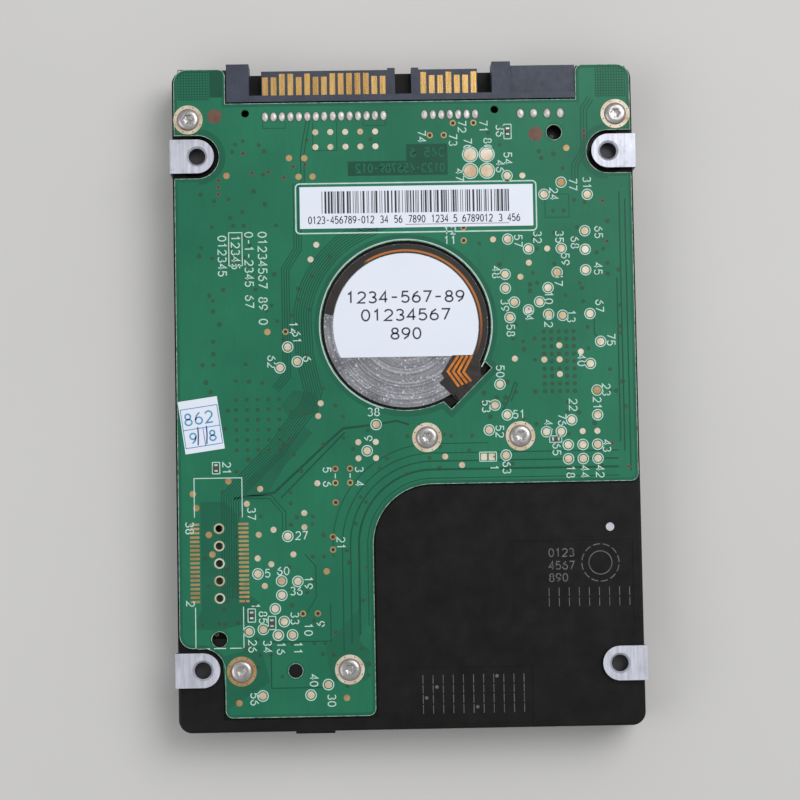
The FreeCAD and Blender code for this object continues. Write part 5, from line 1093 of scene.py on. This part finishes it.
# ---------------------------------------------------------------- the arm's flat ribbon
def actuator_ribbon():
    """The moving ribbon of film that joins the arm to the bracket."""
    low, high = span("actuator_flex")
    bm = bmesh.new()
    path = [(5.15, -32.4), (5.15, -37.0)] + arc(-0.85, -37.0, 6.0, 6.0, 0, -90, 12)[1:]
    path += [(-14.0, -43.0)] + arc(-14.0, -37.0, 6.0, 6.0, -90, -180, 12)[1:] + [(-20.0, -31.5)]
    fine = []
    for a, b in zip(path, path[1:]):
        steps = max(1, round((Vector(b) - Vector(a)).length / 0.6))
        fine += [Vector(a).lerp(Vector(b), i / steps) for i in range(steps)]
    fine.append(Vector(path[-1]))
    stroke(bm, fine, 0.1, low.z, high.z)
    made = solid("actuator_ribbon", bm, MATERIALS["amber"])
    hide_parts("actuator_flex")
    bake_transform(made)


# ---------------------------------------------------------------- camera, light and floor
def lamp(name, place, target, size, energy):
    """A soft flat lamp; its place, target and size are in metres."""
    light = bpy.data.lights.new(name, "AREA")
    light.shape = "RECTANGLE"
    light.size, light.size_y = size
    light.energy = energy
    made = bpy.data.objects.new(name, light)
    made.location = place
    made.rotation_euler = (Vector(target) - Vector(place)).to_track_quat("-Z", "Y").to_euler()
    bpy.context.scene.collection.objects.link(made)


def studio():
    scene = bpy.context.scene
    scene.view_settings.view_transform = "Standard"
    world = bpy.data.worlds.new("room")
    scene.world = world
    world.use_nodes = True
    tree = world.node_tree
    light = tree.nodes["Background"]
    light.inputs["Color"].default_value = (0.94, 0.97, 1.0, 1)
    light.inputs["Strength"].default_value = 0.45
    seen = tree.nodes.new("ShaderNodeBackground")
    seen.inputs["Color"].default_value = linear(206, 205, 203)
    rays = tree.nodes.new("ShaderNodeLightPath")
    which = rays.outputs["Is Camera Ray"]
    for kind in ("Is Glossy Ray", "Is Transmission Ray"):
        either = tree.nodes.new("ShaderNodeMath")
        either.operation = "MAXIMUM"
        tree.links.new(which, either.inputs[0])
        tree.links.new(rays.outputs[kind], either.inputs[1])
        which = either.outputs["Value"]
    choice = tree.nodes.new("ShaderNodeMixShader")
    tree.links.new(which, choice.inputs[0])
    tree.links.new(light.outputs["Background"], choice.inputs[1])
    tree.links.new(seen.outputs["Background"], choice.inputs[2])
    tree.links.new(choice.outputs["Shader"], tree.nodes["World Output"].inputs["Surface"])
    lamp("window", (0.32, 0.28, 0.62), (0, 0, 0), (0.5, 0.5), 3.1)
    lamp("fill", (-0.45, -0.1, 0.5), (0, 0, 0), (0.4, 0.4), 0.8)
    floor = bmesh.new()
    table_top = CAD_BOX[0][2] / MM - 0.02
    prism(floor, rectangle(-900, -900, 900, 900), table_top - 2, table_top)
    table = mottled("pale_table", (211, 209, 206), (206, 204, 201), 9, 0.75, 0.04, depth=0)
    made = solid("floor", floor, table)


CAMERA_PLACE = (-0.00739, -0.02387, 0.35731)     # metres, nearly straight above
CAMERA_TURN = (3.788, -0.971, -1.012)            # degrees
CAMERA_LENS = 105.37


def camera():
    data = bpy.data.cameras.new("camera")
    data.lens = CAMERA_LENS
    data.sensor_width = 36
    data.clip_start = 0.01
    made = bpy.data.objects.new("camera", data)
    made.location = CAMERA_PLACE
    made.rotation_euler = [math.radians(a) for a in CAMERA_TURN]
    bpy.context.scene.collection.objects.link(made)
    bpy.context.scene.camera = made


board_edges()
board_traces()
printed = board_pads_and_holes()
board_vias()
board_print(printed)
small_parts()
copper_numbers()
solder_joints()
board_screws()
board_label()
motor_face()
date_sticker()
casting_marks()
cover_print()
actuator_ribbon()
soft_edges("connector_housing", 0.12)
studio()
camera()
